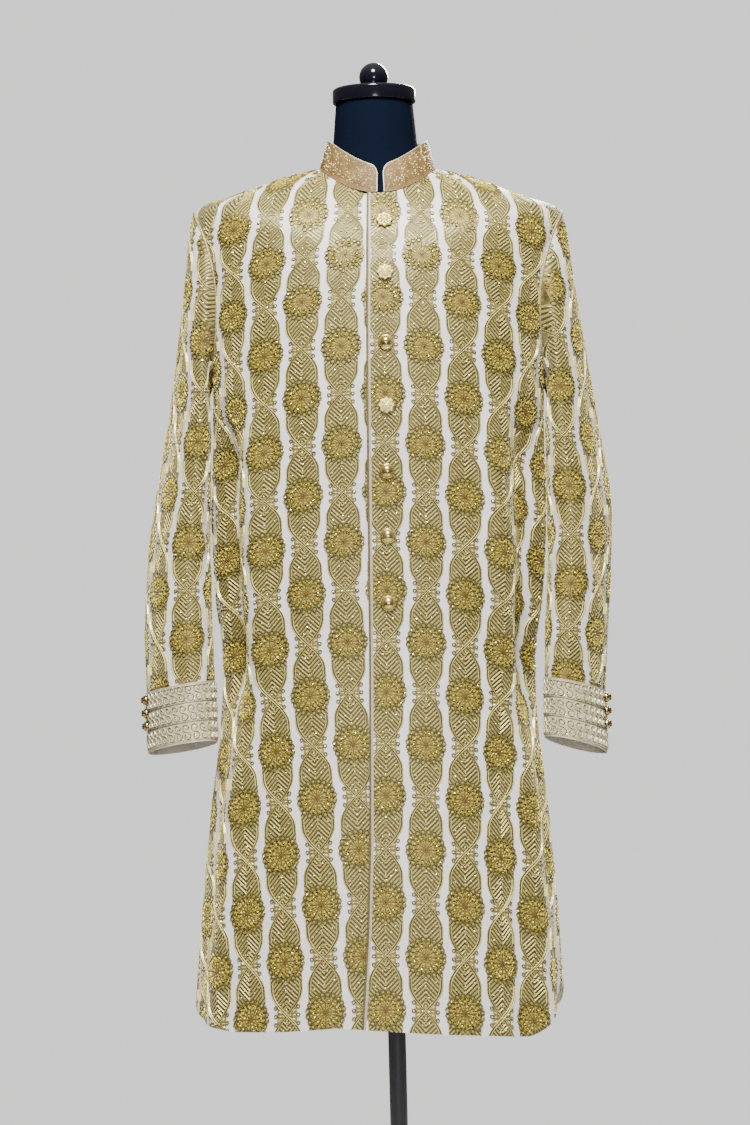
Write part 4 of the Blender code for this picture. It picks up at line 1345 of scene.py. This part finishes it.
cuff_silk = cuff_finish()
cuff_threads = [
    thread_finish("cuff scroll cord", (0.68, 0.62, 0.40), (0.48, 0.42, 0.24), 0.32, 0.30),
    thread_finish("cuff edge cord", (0.66, 0.58, 0.38), (0.46, 0.38, 0.20), 0.34, 0.40),
    thread_finish("cuff crystals", (0.96, 0.92, 0.74), (0.84, 0.78, 0.56), 0.18, 0.30),
    # This dark finish draws the scrolls' painted shadows and the thin dark lines between the bands.
    thread_finish("cuff dark lines and painted shadow", (0.13, 0.105, 0.045), (0.07, 0.055, 0.022), 0.45, 0.30),
]
for name, side in sides.items():
    place = np.linspace(CUFF_TOP - 1, CUFF_END - 1, 16)
    panel = tube_panel(place, side, -SEAM - CLOTH, 72, False, SEAM_ANGLE)
    panel = panel._replace(u=panel.u - panel.u.min(1, keepdims=True))
    piece = cloth_piece(f"cuff_{name}_cloth", panel, SHOWN_CLOTH, cuff_silk, lining, closed=True)
    sewn[f"cuff_{name}"] = wear(piece, f"cuff_{name}")
    girth = float(panel.u[:, -1].mean())
    sew_free(f"cuff_{name}_scrolls", panel, cuff_stitches(girth), cuff_threads)
    print("cuff", name, "girth", round(girth, 3), "area", round(face_area(piece) / 2, 4))

# %% [markdown]
# ## Collar
#
# The stand-up collar is a stiff band that follows the neckline and leans in a little. Its ends
# are rounded at the notch in front. A corded edge and rows of stitching trim it, and crystals
# are scattered over it. The seeded random numbers give the same scatter on every run.

# %% Collar band
COLLAR_TOP = Ring(0.0625, 0.0670, 0.0600, 1.4865, 1.5250, 1.535, 2)
COLLAR_DIP = 1.5
COLLAR_SEAM = 0.0004
COLLAR_CORNER = 0.010
NOTCH_X = 0.0035
NOTCH_TOP = 0.0042
NOTCH_BASE = 0.0046
COLLAR_CROWD = 0.05


def collar_points(share, turn):
    """Collar's outer side: share 0 on the neckline, 1 at the top edge."""
    shape = np.shape(turn)
    base = ring_points(np.broadcast_to(np.array(BODY[0], float), (*shape, 7)), turn)
    top = ring_points(np.broadcast_to(np.array(COLLAR_TOP, float), (*shape, 7)), turn, COLLAR_DIP)
    base = base + np.array([0, 0, COLLAR_SEAM])
    return base + (top - base) * share[..., None]


def collar_panel(rows, columns):
    share = np.linspace(1, 0, rows)[:, None]
    along = np.linspace(0, 1, columns)[None, :]
    half = NOTCH_BASE + (NOTCH_TOP - NOTCH_BASE) * share
    start = np.degrees(np.arcsin((NOTCH_X + half) / BODY[0].front))
    end = 360 + np.degrees(np.arcsin((NOTCH_X - half) / BODY[0].front))
    turn = start + (end - start) * (along - COLLAR_CROWD * np.sin(2 * math.pi * along))
    from_edge = np.minimum(turn - start, end - turn) * math.radians(BODY[0].front)
    whole = np.ones_like(turn)
    height = np.linalg.norm(collar_points(whole, turn) - collar_points(0 * whole, turn), axis=-1)
    run = np.clip(COLLAR_CORNER - from_edge, 0, COLLAR_CORNER)
    cut = (COLLAR_CORNER - np.sqrt(COLLAR_CORNER**2 - run**2)) / height
    here = share * (1 - cut)
    points = collar_points(here, turn)
    rise = collar_points(whole, turn) - collar_points(0 * whole, turn)
    across = collar_points(here, turn + 0.5) - collar_points(here, turn - 0.5)
    normals = unit(np.cross(across, rise))
    step = np.linalg.norm(np.diff(points[rows // 2], axis=0), axis=-1)
    u = np.broadcast_to(np.concatenate([[0], np.cumsum(step)]), turn.shape)
    v = height * (1 - here)
    free = np.full(turn.shape, FREE_LIMIT)
    return Panel(hang(points), hang_normals(points, normals), u, v, free)


def collar_finish():
    cloth = Finish("rose gold cloth", (0.42, 0.26, 0.10), 0.5, 0.0)
    cloth.set("Specular IOR Level", 0.25)
    fine, broad = cloth.noise(700.0), cloth.noise(90.0)
    shine = cloth.mix(broad.step(0.30, 0.72), (0.112, 0.066, 0.019), (0.190, 0.116, 0.038))
    cloth.set("Base Color", cloth.mix(fine.step(0.35, 0.75) * 0.4, shine, (0.28, 0.178, 0.064)))
    cloth.set("Roughness", 0.45 + fine * 0.25)
    cloth.bump(fine, 0.0005, 0.8)
    return cloth.material


collar = collar_panel(15, 150)
collar_silk = collar_finish()
collar_piece = cloth_piece("collar_band", collar, COLLAR_CLOTH - 0.0004, collar_silk, lining)
sewn["collar"] = wear(collar_piece, "collar")


def tube_along(name, path, radius, material, closed=False, sides=8):
    """A round cord through points, with flat ends."""
    path = np.asarray(path, float)
    along = unit(np.roll(path, -1, 0) - np.roll(path, 1, 0)) if closed else unit(
        np.gradient(path, axis=0))
    level = unit(np.cross(along, np.array([0.0, 0.0, 1.0]) + 0 * along))
    upper = np.cross(level, along)
    turn = np.arange(sides) * 2 * math.pi / sides
    ring = level[:, None] * np.cos(turn)[:, None] + upper[:, None] * np.sin(turn)[:, None]
    points = (path[:, None] + ring * radius).reshape(-1, 3)
    count = len(path)
    faces = []
    for i in range(count if closed else count - 1):
        for k in range(sides):
            here, there, turned_k = i * sides, (i + 1) % count * sides, (k + 1) % sides
            faces.append((here + k, there + k, there + turned_k, here + turned_k))
    if not closed:
        last = range(len(points) - sides, len(points))
        faces += [tuple(range(sides)), tuple(reversed(last))]
    return wear(smooth_piece(name, points, faces, material))


edge_cloth = thread_finish("collar edge", (0.70, 0.58, 0.42), (0.50, 0.38, 0.24), 0.36, 0.30)
border = np.concatenate([collar.points[::-1, 0], collar.points[0, 1:-1], collar.points[:, -1]])
inward = np.concatenate([collar.normals[::-1, 0], collar.normals[0, 1:-1], collar.normals[:, -1]])
tube_along("collar_edge_cord", border - inward * 0.0006, 0.0008, edge_cloth)
seam = thread_finish("collar seam", (0.20, 0.12, 0.06), (0.10, 0.06, 0.03), 0.6, 0.0)
tube_along("collar_base_cord", collar.points[-1] + collar.normals[-1] * 0.0003, 0.0010, seam)

scatter = np.random.default_rng(7)
collar_long, collar_high = float(collar.u.max()), float(collar.v.max())
collar_threads = [
    thread_finish("collar crystals", (1.00, 0.90, 0.56), (0.93, 0.75, 0.38), 0.15, 0.05),
    thread_finish("collar stitching", (0.30, 0.20, 0.09), (0.20, 0.12, 0.05), 0.40, 0.20),
    thread_finish("collar gold beads", (0.80, 0.62, 0.26), (0.52, 0.36, 0.12), 0.20, 0.40),
]
stitches = []
for _ in range(700):
    share, down = scatter.uniform(0.01, 0.99), scatter.uniform(0.002, collar_high - 0.006)
    across = collar_long * (share - 0.10 * math.sin(2 * math.pi * share))
    size = scatter.uniform(0.0007, 0.0013)
    stitches.append((0 if size > 0.00085 else 2, *bead((across, down), size, size * 1.1)))
for down in (0.0030, 0.0052, 0.0074):
    for k in range(150):
        u = np.linspace(k, k + 0.8, 2) * collar_long / 150
        v = float(collar.v[-1].mean()) - down + 0 * u
        stitches.append((1, *cord(np.stack([u, v], 1), 0.0008, 0.0006)))
sew_free("collar_crystals", collar, stitches, collar_threads)
print("collar length", round(collar_long, 3), "height", round(collar_high, 3))

# %% [markdown]
# ## Buttons
#
# The buttons are cast metal: three in front and those on the cuffs have petals, and four are
# plain domes. A lathe shape alone can't show
# petals, so the dome's rings are lifted by a wave that goes round with the angle. Under each
# dome is the shank that holds it to the cloth.

# %% Buttons
BUTTON_HEIGHTS = [1.4146, 1.3500, 1.2650, 1.1890, 1.1100, 1.0320, 0.9510]
BUTTON_X = (0.0079, 0.0110)
BUTTON_RADIUS = 0.0092
PALE_BUTTONS = (1, 2, 4)
CUFF_BUTTON_RADIUS = 0.0062
CUFF_BUTTON_TURN = 8.0
BUTTON_CORNER = 48
CUFF_BUTTON_PLACES = (0.13, 0.35, 0.57)
BUTTON_SHAPE = [(0.0, 0.80), (0.10, 0.79), (0.18, 0.75), (0.22, 0.70), (0.30, 0.72), (0.42, 0.72),
                (0.55, 0.67), (0.66, 0.60), (0.73, 0.50), (0.76, 0.47), (0.82, 0.49), (0.89, 0.46),
                (0.95, 0.38), (1.0, 0.27), (0.96, 0.17), (0.80, 0.13), (0.26, 0.12), (0.26, 0.0)]

DOME_SHAPE = [(0.0, 0.82), (0.12, 0.815), (0.26, 0.79), (0.40, 0.74), (0.53, 0.67), (0.65, 0.575),
              (0.74, 0.475), (0.79, 0.39), (0.83, 0.37), (0.89, 0.375), (0.95, 0.35), (1.0, 0.27),
              (0.96, 0.17), (0.80, 0.13), (0.26, 0.12), (0.26, 0.0)]


def button(name, radius, point, normal, material, petals, relief=0.075, scallops=0.022, tall=1.0,
           sides=40, shape=BUTTON_SHAPE):
    """A domed button with petals, standing on a point of the cloth along its normal."""
    turn = np.arange(sides) * 2 * math.pi / sides
    rings = []
    for across, up in shape[1:]:
        petal = math.exp(-(((across - 0.48) / 0.17) ** 2)) * relief
        lift = petal * np.cos(turn * petals)
        scallop = 1 + (scallops * np.cos(turn * petals) if across > 0.7 else 0 * turn)
        rings.append(np.stack([across * scallop * np.cos(turn), across * scallop * np.sin(turn),
                               up + lift], 1))
    points = np.concatenate([[[0, 0, shape[0][1]]], *rings, [[0, 0, 0]]])
    points = points * (radius, radius, radius * tall)
    faces = [(0, 1 + k, 1 + (k + 1) % sides) for k in range(sides)]
    for i in range(len(rings) - 1):
        top, low = 1 + i * sides, 1 + (i + 1) * sides
        faces += [(top + k, low + k, low + (k + 1) % sides, top + (k + 1) % sides)
                  for k in range(sides)]
    foot, last = len(points) - 1, 1 + (len(rings) - 1) * sides
    faces += [(foot, last + (k + 1) % sides, last + k) for k in range(sides)]
    turned = Vector(normal).to_track_quat("Z", "Y").to_matrix()
    placed = points @ np.array(turned).T + point + np.array(normal) * SEAM
    return smooth_piece(name, placed, faces, material, BUTTON_CORNER)


def metal(name, colour, dark, roughness, scale, metallic=1.0):
    finish = Finish(name, colour, roughness, metallic)
    worn = finish.noise(scale, 4.0)
    finish.set("Base Color", finish.mix(worn.step(0.35, 0.65), dark, colour))
    finish.set("Roughness", roughness + worn * 0.15)
    return finish.material


gold = metal("antique gold", (0.66, 0.52, 0.19), (0.46, 0.35, 0.11), 0.20, 120.0, 0.95)
pale_gold = metal("pale gold", (1.00, 0.89, 0.40), (0.88, 0.69, 0.20), 0.22, 300.0, 0.40)
row_table = np.linspace(0, WAIST_ROW, 600)
row_height = plain_body(row_table, np.zeros(600))[:, 2]
for number, height in enumerate(BUTTON_HEIGHTS, 1):
    row = float(np.interp(height, row_height[::-1], row_table[::-1]))
    share = (BUTTON_HEIGHTS[0] - height) / (BUTTON_HEIGHTS[0] - BUTTON_HEIGHTS[-1])
    across = BUTTON_X[0] + (BUTTON_X[1] - BUTTON_X[0]) * share
    turn = math.degrees(math.asin(across / float(spline(BODY, row)[FRONT])))
    point = body(np.array(row), np.array(turn))
    normal = outward(body, np.array(row), np.array(turn))
    place, facing_out = hang(point), hang_normals(point, normal)
    if number in PALE_BUTTONS:
        piece = button(f"front_button_{number}", BUTTON_RADIUS, place, facing_out, pale_gold, 8,
                       0.16, 0.10)
    else:
        piece = button(f"front_button_{number}", BUTTON_RADIUS, place, facing_out, gold, 12,
                       0.0, 0.012, shape=DOME_SHAPE)
    wear(piece, f"button_{number}")
dark_gold = metal("dark antique gold", (0.40, 0.29, 0.12), (0.12, 0.075, 0.03), 0.12, 400.0)
for name, side in sides.items():
    for number, share in enumerate(CUFF_BUTTON_PLACES, 1):
        place, angle = np.array(CUFF_TOP - 1 + share), np.array(CUFF_BUTTON_TURN)
        normal = sleeve_normals(place, angle, side)
        point = sleeve(place, angle, side) + normal * (SEAM + CLOTH)
        piece = button(f"cuff_{name}_button_{number}", CUFF_BUTTON_RADIUS, hang(point),
                       hang_normals(point, normal), dark_gold, 6, tall=1.9, sides=32)
        wear(piece, f"cuff_button_{name[0]}{number}")
print("buttons", len(BUTTON_HEIGHTS) + 2 * len(CUFF_BUTTON_PLACES))

# %% [markdown]
# ## Seams and the lap's edge
#
# Where a sleeve is set in, the seam shows as a soft ridge round the armhole. The edge of the upper
# front is turned in and faced with plain silk, which shows as a narrow pale strip with no
# embroidery on it. A dark cord along the edge stands for its piping and for the painted shadow
# beside it.

# %% Armhole seams and facing
seam_cord = thread_finish("armhole seam", (0.50, 0.40, 0.18), (0.24, 0.17, 0.06), 0.45, 0.25)
for name, side in sides.items():
    angle = np.arange(0, 360, 3.0)
    start = sleeve(np.full(angle.shape, -1.0), angle, side)
    start[:, 0] -= side * 0.0012
    tube_along(f"armhole_{name}_seam", hang(start), 0.0017, seam_cord, closed=True)

facing_silk = Finish("plain silk facing", (0.74, 0.66, 0.60), 0.4, Sheen_Weight=0.1)
facing_weave = facing_silk.noise(900.0)
facing_silk.set("Base Color", facing_silk.mix(facing_weave, (0.34, 0.27, 0.20), (0.48, 0.39, 0.31)))
facing_silk.bump(facing_weave, 0.0003, 0.5)
panel = panels["front_left"]
rows, columns = panel.u.shape
i = np.broadcast_to(np.arange(rows, dtype=float)[:, None], (rows, 4)).ravel()
shift = np.tile(np.array([0.0, 0.0006, 0.0028, FACING]), rows)
j = shift / np.repeat(panel.u[:, 1] - panel.u[:, 0], 4)
place = grid_read(panel.points, i, j)[0]
normal = unit(grid_read(panel.normals, i, j)[0])
lifted = place + normal * np.tile([0.0002, 0.0007, 0.0007, 0.0002], rows)[:, None]
facing = Panel(lifted.reshape(rows, 4, 3), normal.reshape(rows, 4, 3), i.reshape(rows, 4),
               shift.reshape(rows, 4), None)
facing_piece = cloth_piece("lap_facing", facing, 0.0005, facing_silk.material, facing_silk.material)
wear(facing_piece)
# A dark cord just outside the lap's edge: edge piping, and a painted shadow of the lap.
lap_piping_and_shadow = thread_finish("lap edge piping and painted shadow", (0.15, 0.12, 0.045), (0.07, 0.055, 0.02), 0.5, 0.1)
edge_path = panel.points[:, 0] - (panel.points[:, 1] - panel.points[:, 0]) * 0.18
tube_along("lap_edge_piping_and_shadow", edge_path, 0.0013, lap_piping_and_shadow)
print("facing faces", len(facing_piece.data.polygons))

# %% [markdown]
# ## The form and its stand
#
# The form's torso stays a little inside the coat. Its neck, cap and ball show above the collar.
# The cap, ball, pole and foot are shapes for a lathe: a profile is turned about the upright axis
# by the Screw modifier, with rounded edges worked into the profile.

# %% Form and stand
FORM_INSET = [(0, 0.0032), (2, 0.0033), (3, 0.0036), (5, 0.0065), (6, 0.0110), (7, 0.0230),
              (8, 0.0320), (9, 0.0360), (11, 0.0380), (12, 0.0380)]
FORM_FRONT_INSET = 0.0030
LAP_TURN = 22.0
FORM_BOTTOM = 0.8000
NECK = [
    Ring(0.0480, 0.0480, 0.0480, 1.5730, 1.5730, 1.5730, 2.0),
    Ring(0.0505, 0.0505, 0.0505, 1.5430, 1.5450, 1.5460, 2.0),
    Ring(0.0525, 0.0530, 0.0520, 1.5060, 1.5230, 1.5300, 2.0),
    Ring(0.0555, 0.0590, 0.0545, 1.4720, 1.5050, 1.5190, 2.0),
    Ring(0.0620, 0.0670, 0.0605, 1.4570, 1.4955, 1.5115, 2.0),
]


def form_points(row, turn):
    """Torso surface, inset from the coat, deeper down the front where two laps lie."""
    aside = (turn + 180) % 360 - 180
    depth = between(FORM_INSET, row) + FORM_FRONT_INSET * np.exp(-((aside / LAP_TURN) ** 4))
    point = plain_body(row, turn) - outward(plain_body, row, turn) * depth[..., None]
    upright = smooth(UNDERARM_ROW, WAIST_ROW, row)
    point = hang(point, 1 - upright)
    point[..., 2] = np.where(row >= WAIST_ROW, FORM_BOTTOM, point[..., 2])
    return point


def jersey_finish():
    jersey = Finish("navy black jersey", (0.002, 0.004, 0.011), 0.90)
    jersey.set("Specular IOR Level", 0.05)
    knit = jersey.node("ShaderNodeTexCoord", output=3)
    wave = jersey.node("ShaderNodeTexWave", {"bands_direction": "Z"},
                       {"Vector": knit, "Scale": 260.0, "Distortion": 2.0, "Detail Scale": 300.0})
    fine = jersey.noise(500.0)
    jersey.set("Base Color", jersey.mix(fine, (0.001, 0.0025, 0.008), (0.003, 0.006, 0.016)))
    jersey.bump(wave + fine, 0.0003, 0.5)
    return jersey.material


jersey = jersey_finish()
turn = np.broadcast_to(np.arange(120) * 3.0, (40, 120))
row = np.broadcast_to(np.linspace(0, WAIST_ROW, 40)[:, None], (40, 120))
neck_row = np.broadcast_to(np.linspace(0, len(NECK) - 1, 17)[:, None], (17, 120))
neck = ring_points(spline(NECK, neck_row), turn[:17])
grid = np.concatenate([neck, form_points(row, turn)])
points = grid.reshape(-1, 3)
faces = []
for i in range(len(grid) - 1):
    for j in range(120):
        right = (j + 1) % 120
        faces.append((i * 120 + j, (i + 1) * 120 + j, (i + 1) * 120 + right, i * 120 + right))
faces += [tuple(range(120)), tuple(reversed(range(len(points) - 120, len(points))))]
wear(smooth_piece("dress_form", points, faces, jersey, 50), "form_torso")
print("form faces", len(faces))

# %% [markdown]
# ## Cap, ball, pole and foot
#
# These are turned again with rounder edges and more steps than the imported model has. Their
# profiles are lists of radius and height, and the Screw modifier sweeps them round. Gloss black
# plastic shows hardly any colour of its own, so its look comes from smoothness and soft lights.

# %% Turned pieces
CAP_RADIUS = 0.0517
CAP_THICK = 0.0180
KNOB_RADIUS = 0.0180
KNOB_NECK = 0.0108
POLE_RADIUS = 0.0110
FLANGE_RADIUS = 0.0450
BASE_RADIUS = 0.1900
BASE_THICK = 0.0120


def arc(radius, centre, start, end, count):
    """Points of an arc in a profile, from start to end degrees above the horizontal."""
    angles = np.radians(np.linspace(start, end, count))
    return [(centre[0] + radius * math.cos(a), centre[1] + radius * math.sin(a)) for a in angles]


def turned_piece(name, profile, material, node, steps=96):
    mesh = bpy.data.meshes.new(name)
    points = [(radius, 0.0, height) for radius, height in profile]
    mesh.from_pydata(points, [(i, i + 1) for i in range(len(points) - 1)], [])
    mesh.materials.append(material)
    piece = linked(name, mesh)
    screw = piece.modifiers.new("turn", "SCREW")
    screw.steps = screw.render_steps = steps
    screw.use_merge_vertices = True
    screw.merge_threshold = 0.00002
    screw.use_smooth_shade = True
    corners = piece.modifiers.new("sharp corners", "EDGE_SPLIT")
    corners.split_angle = math.radians(40)
    wear(piece, node)


plastic = Finish("black gloss plastic", (0.003, 0.003, 0.006), 0.14)
plastic.set("Specular IOR Level", 0.4)
plastic.set("Roughness", 0.10 + plastic.noise(30.0) * 0.08)
black_metal = Finish("black painted metal", (0.012, 0.012, 0.014), 0.32)
black_metal.set("Roughness", 0.28 + black_metal.noise(60.0) * 0.12)
bottom = NECK[0].z_side + SEAM
top = bottom + CAP_THICK
edge = 0.0035
profile = [(0.0, top), (CAP_RADIUS * 0.6, top)] + arc(edge, (CAP_RADIUS - edge, top - edge), 90, 0, 8)
profile += arc(0.0015, (CAP_RADIUS - 0.0015, bottom + 0.0015), 0, -90, 5) + [(0.0, bottom)]
turned_piece("form_cap", profile, plastic.material, "neck_cap")
seat = top + SEAM
fall = math.degrees(math.acos(KNOB_NECK / KNOB_RADIUS))
middle = seat + math.sqrt(KNOB_RADIUS**2 - KNOB_NECK**2)
ball = arc(KNOB_RADIUS, (0.0, middle), 90, -fall, 28)
turned_piece("form_ball", [(0.0, ball[0][1])] + ball[1:] + [(0.0, seat)], plastic.material,
             "knob")
top = FORM_BOTTOM - SEAM
foot = BASE_THICK + SEAM
profile = [(0.0, top), (FLANGE_RADIUS - 0.001, top)]
profile += arc(0.001, (FLANGE_RADIUS - 0.001, top - 0.001), 90, 0, 4)
profile += [(FLANGE_RADIUS, top - 0.006), (0.020, top - 0.010), (0.0175, top - 0.014),
            (0.016, top - 0.045), (POLE_RADIUS, top - 0.048), (POLE_RADIUS, foot + 0.060),
            (0.0185, foot + 0.0585), (0.0205, foot + 0.014), (0.0215, foot + 0.010),
            (0.030, foot + 0.006), (0.030, foot), (0.0, foot)]
turned_piece("stand_post", profile, black_metal.material, "stand_pole", 64)
edge = 0.004
profile = [(0.0, BASE_THICK)] + arc(edge, (BASE_RADIUS - edge, BASE_THICK - edge), 90, 0, 8)
profile += [(BASE_RADIUS, 0.001), (BASE_RADIUS - 0.001, 0.0), (0.0, 0.0)]
turned_piece("stand_foot", profile, black_metal.material, "stand_base", 128)

# %% [markdown]
# ## What the cloth was cut from
#
# A sheet has a flat size before it is sewn. The two numbers are the smallest rectangle that the
# piece is cut from, and the area is the cut's own, with its curved armholes and neckline. The
# embroidery belongs to its panel, so it is named with it.

CUTS = {
    "front_left": ((0.33, 1.05), 0.299, ["front_left_embroidery", "lap_facing", "lap_edge_piping_and_shadow"]),
    "front_right": ((0.35, 1.05), 0.317, ["front_right_embroidery"]),
    "back": ((0.60, 1.10), 0.558, ["back_upper_embroidery", "back_lower_embroidery"]),
    "sleeve_left": ((0.40, 0.60), 0.167, ["sleeve_left_embroidery"]),
    "sleeve_right": ((0.40, 0.60), 0.165, ["sleeve_right_embroidery"]),
    "cuff_left": ((0.32, 0.078), 0.0231, ["cuff_left_scrolls"]),
    "cuff_right": ((0.33, 0.078), 0.0242, ["cuff_right_scrolls"]),
    "collar": ((0.46, 0.045), 0.0156, ["collar_crystals"]),
}
for name, (flat, area, extra) in CUTS.items():
    print(name, "flat", flat, "area", area, "measured", round(face_area(sewn[name]) / 2, 4))

# %% [markdown]
# ## Floor, light and camera
#
# The photograph is a plain studio shot from the height of the coat's middle. A pale floor, a
# high soft light in front, a weak one at the coat's height, one behind and a pale surround give
# the same even light. The camera is level, and rolled a little as in the photograph.

# %% Set the stage
floor_finish = Finish("studio floor", (0.62, 0.62, 0.63), 0.7)
bpy.ops.mesh.primitive_circle_add(vertices=96, radius=1.4, fill_type="NGON", location=(0, 0, -0.0005))
floor = bpy.context.object
floor.name = "studio_floor"
floor.data.materials.append(floor_finish.material)


def soft_light(name, place, target, power, size):
    data = bpy.data.lights.new(name, "AREA")
    data.shape = "DISK"
    data.size = size
    data.energy = power
    lamp = linked(name, data)
    lamp.location = place
    lamp.rotation_euler = (Vector(target) - Vector(place)).to_track_quat("-Z", "Y").to_euler()


soft_light("key_light", (-0.1, -2.0, 3.7), (0, 0, 1.0), 325, 0.8)
soft_light("fill_light", (0.2, -3.6, 1.1), (0, 0, 0.85), 44, 0.9)
soft_light("back_light", (0.8, 2.8, 2.6), (0, 0, 1.1), 190, 1.2)
world = bpy.data.worlds.new("pale studio")
world.use_nodes = True
surround = world.node_tree
where = surround.nodes.new("ShaderNodeTexCoord")
upward = surround.nodes.new("ShaderNodeSeparateXYZ")
shade = surround.nodes.new("ShaderNodeValToRGB")
Finish.fill_ramp(shade.color_ramp, [(0.0, (0.04, 0.04, 0.045)), (0.35, (0.08, 0.08, 0.085)),
                                    (0.52, (0.12, 0.12, 0.125)), (0.75, (0.34, 0.34, 0.33)),
                                    (1.0, (0.80, 0.80, 0.77))])
lift = surround.nodes.new("ShaderNodeMath")
lift.operation = "MULTIPLY_ADD"
lift.inputs[1].default_value = lift.inputs[2].default_value = 0.5
background = surround.nodes["Background"]
surround.links.new(where.outputs["Generated"], upward.inputs[0])
surround.links.new(upward.outputs["Z"], lift.inputs[0])
surround.links.new(lift.outputs[0], shade.inputs[0])
surround.links.new(shade.outputs[0], background.inputs["Color"])
background.inputs["Strength"].default_value = 1.0

# The pale wall all round is seen by the camera only, so that the light stays directional.
wall_paint = Finish("studio wall", (0.0, 0.0, 0.0), 1.0, Emission_Strength=1.0)
wall_paint.set("Emission Color", (1.13, 1.13, 1.12, 1.0))
wall_paint.set("Specular IOR Level", 0.0)
bpy.ops.mesh.primitive_uv_sphere_add(segments=64, ring_count=32, radius=14, location=(0, 0, 1))
studio_wall = bpy.context.object
studio_wall.name = "studio_wall"
studio_wall.data.materials.append(wall_paint.material)
for ray in ("diffuse", "glossy", "transmission", "volume_scatter", "shadow"):
    setattr(studio_wall, "visible_" + ray, False)
bpy.context.scene.world = world

camera_data = bpy.data.cameras.new("studio_camera")
camera_data.sensor_fit = "VERTICAL"
camera_data.sensor_height = 36.0
camera_data.lens = 90.67
camera = linked("studio_camera", camera_data)
camera.location = (-0.013, -3.54, 1.0)
camera.rotation_euler = (math.radians(90), math.radians(1.4), 0)
bpy.context.scene.camera = camera
print("camera", tuple(camera.location))
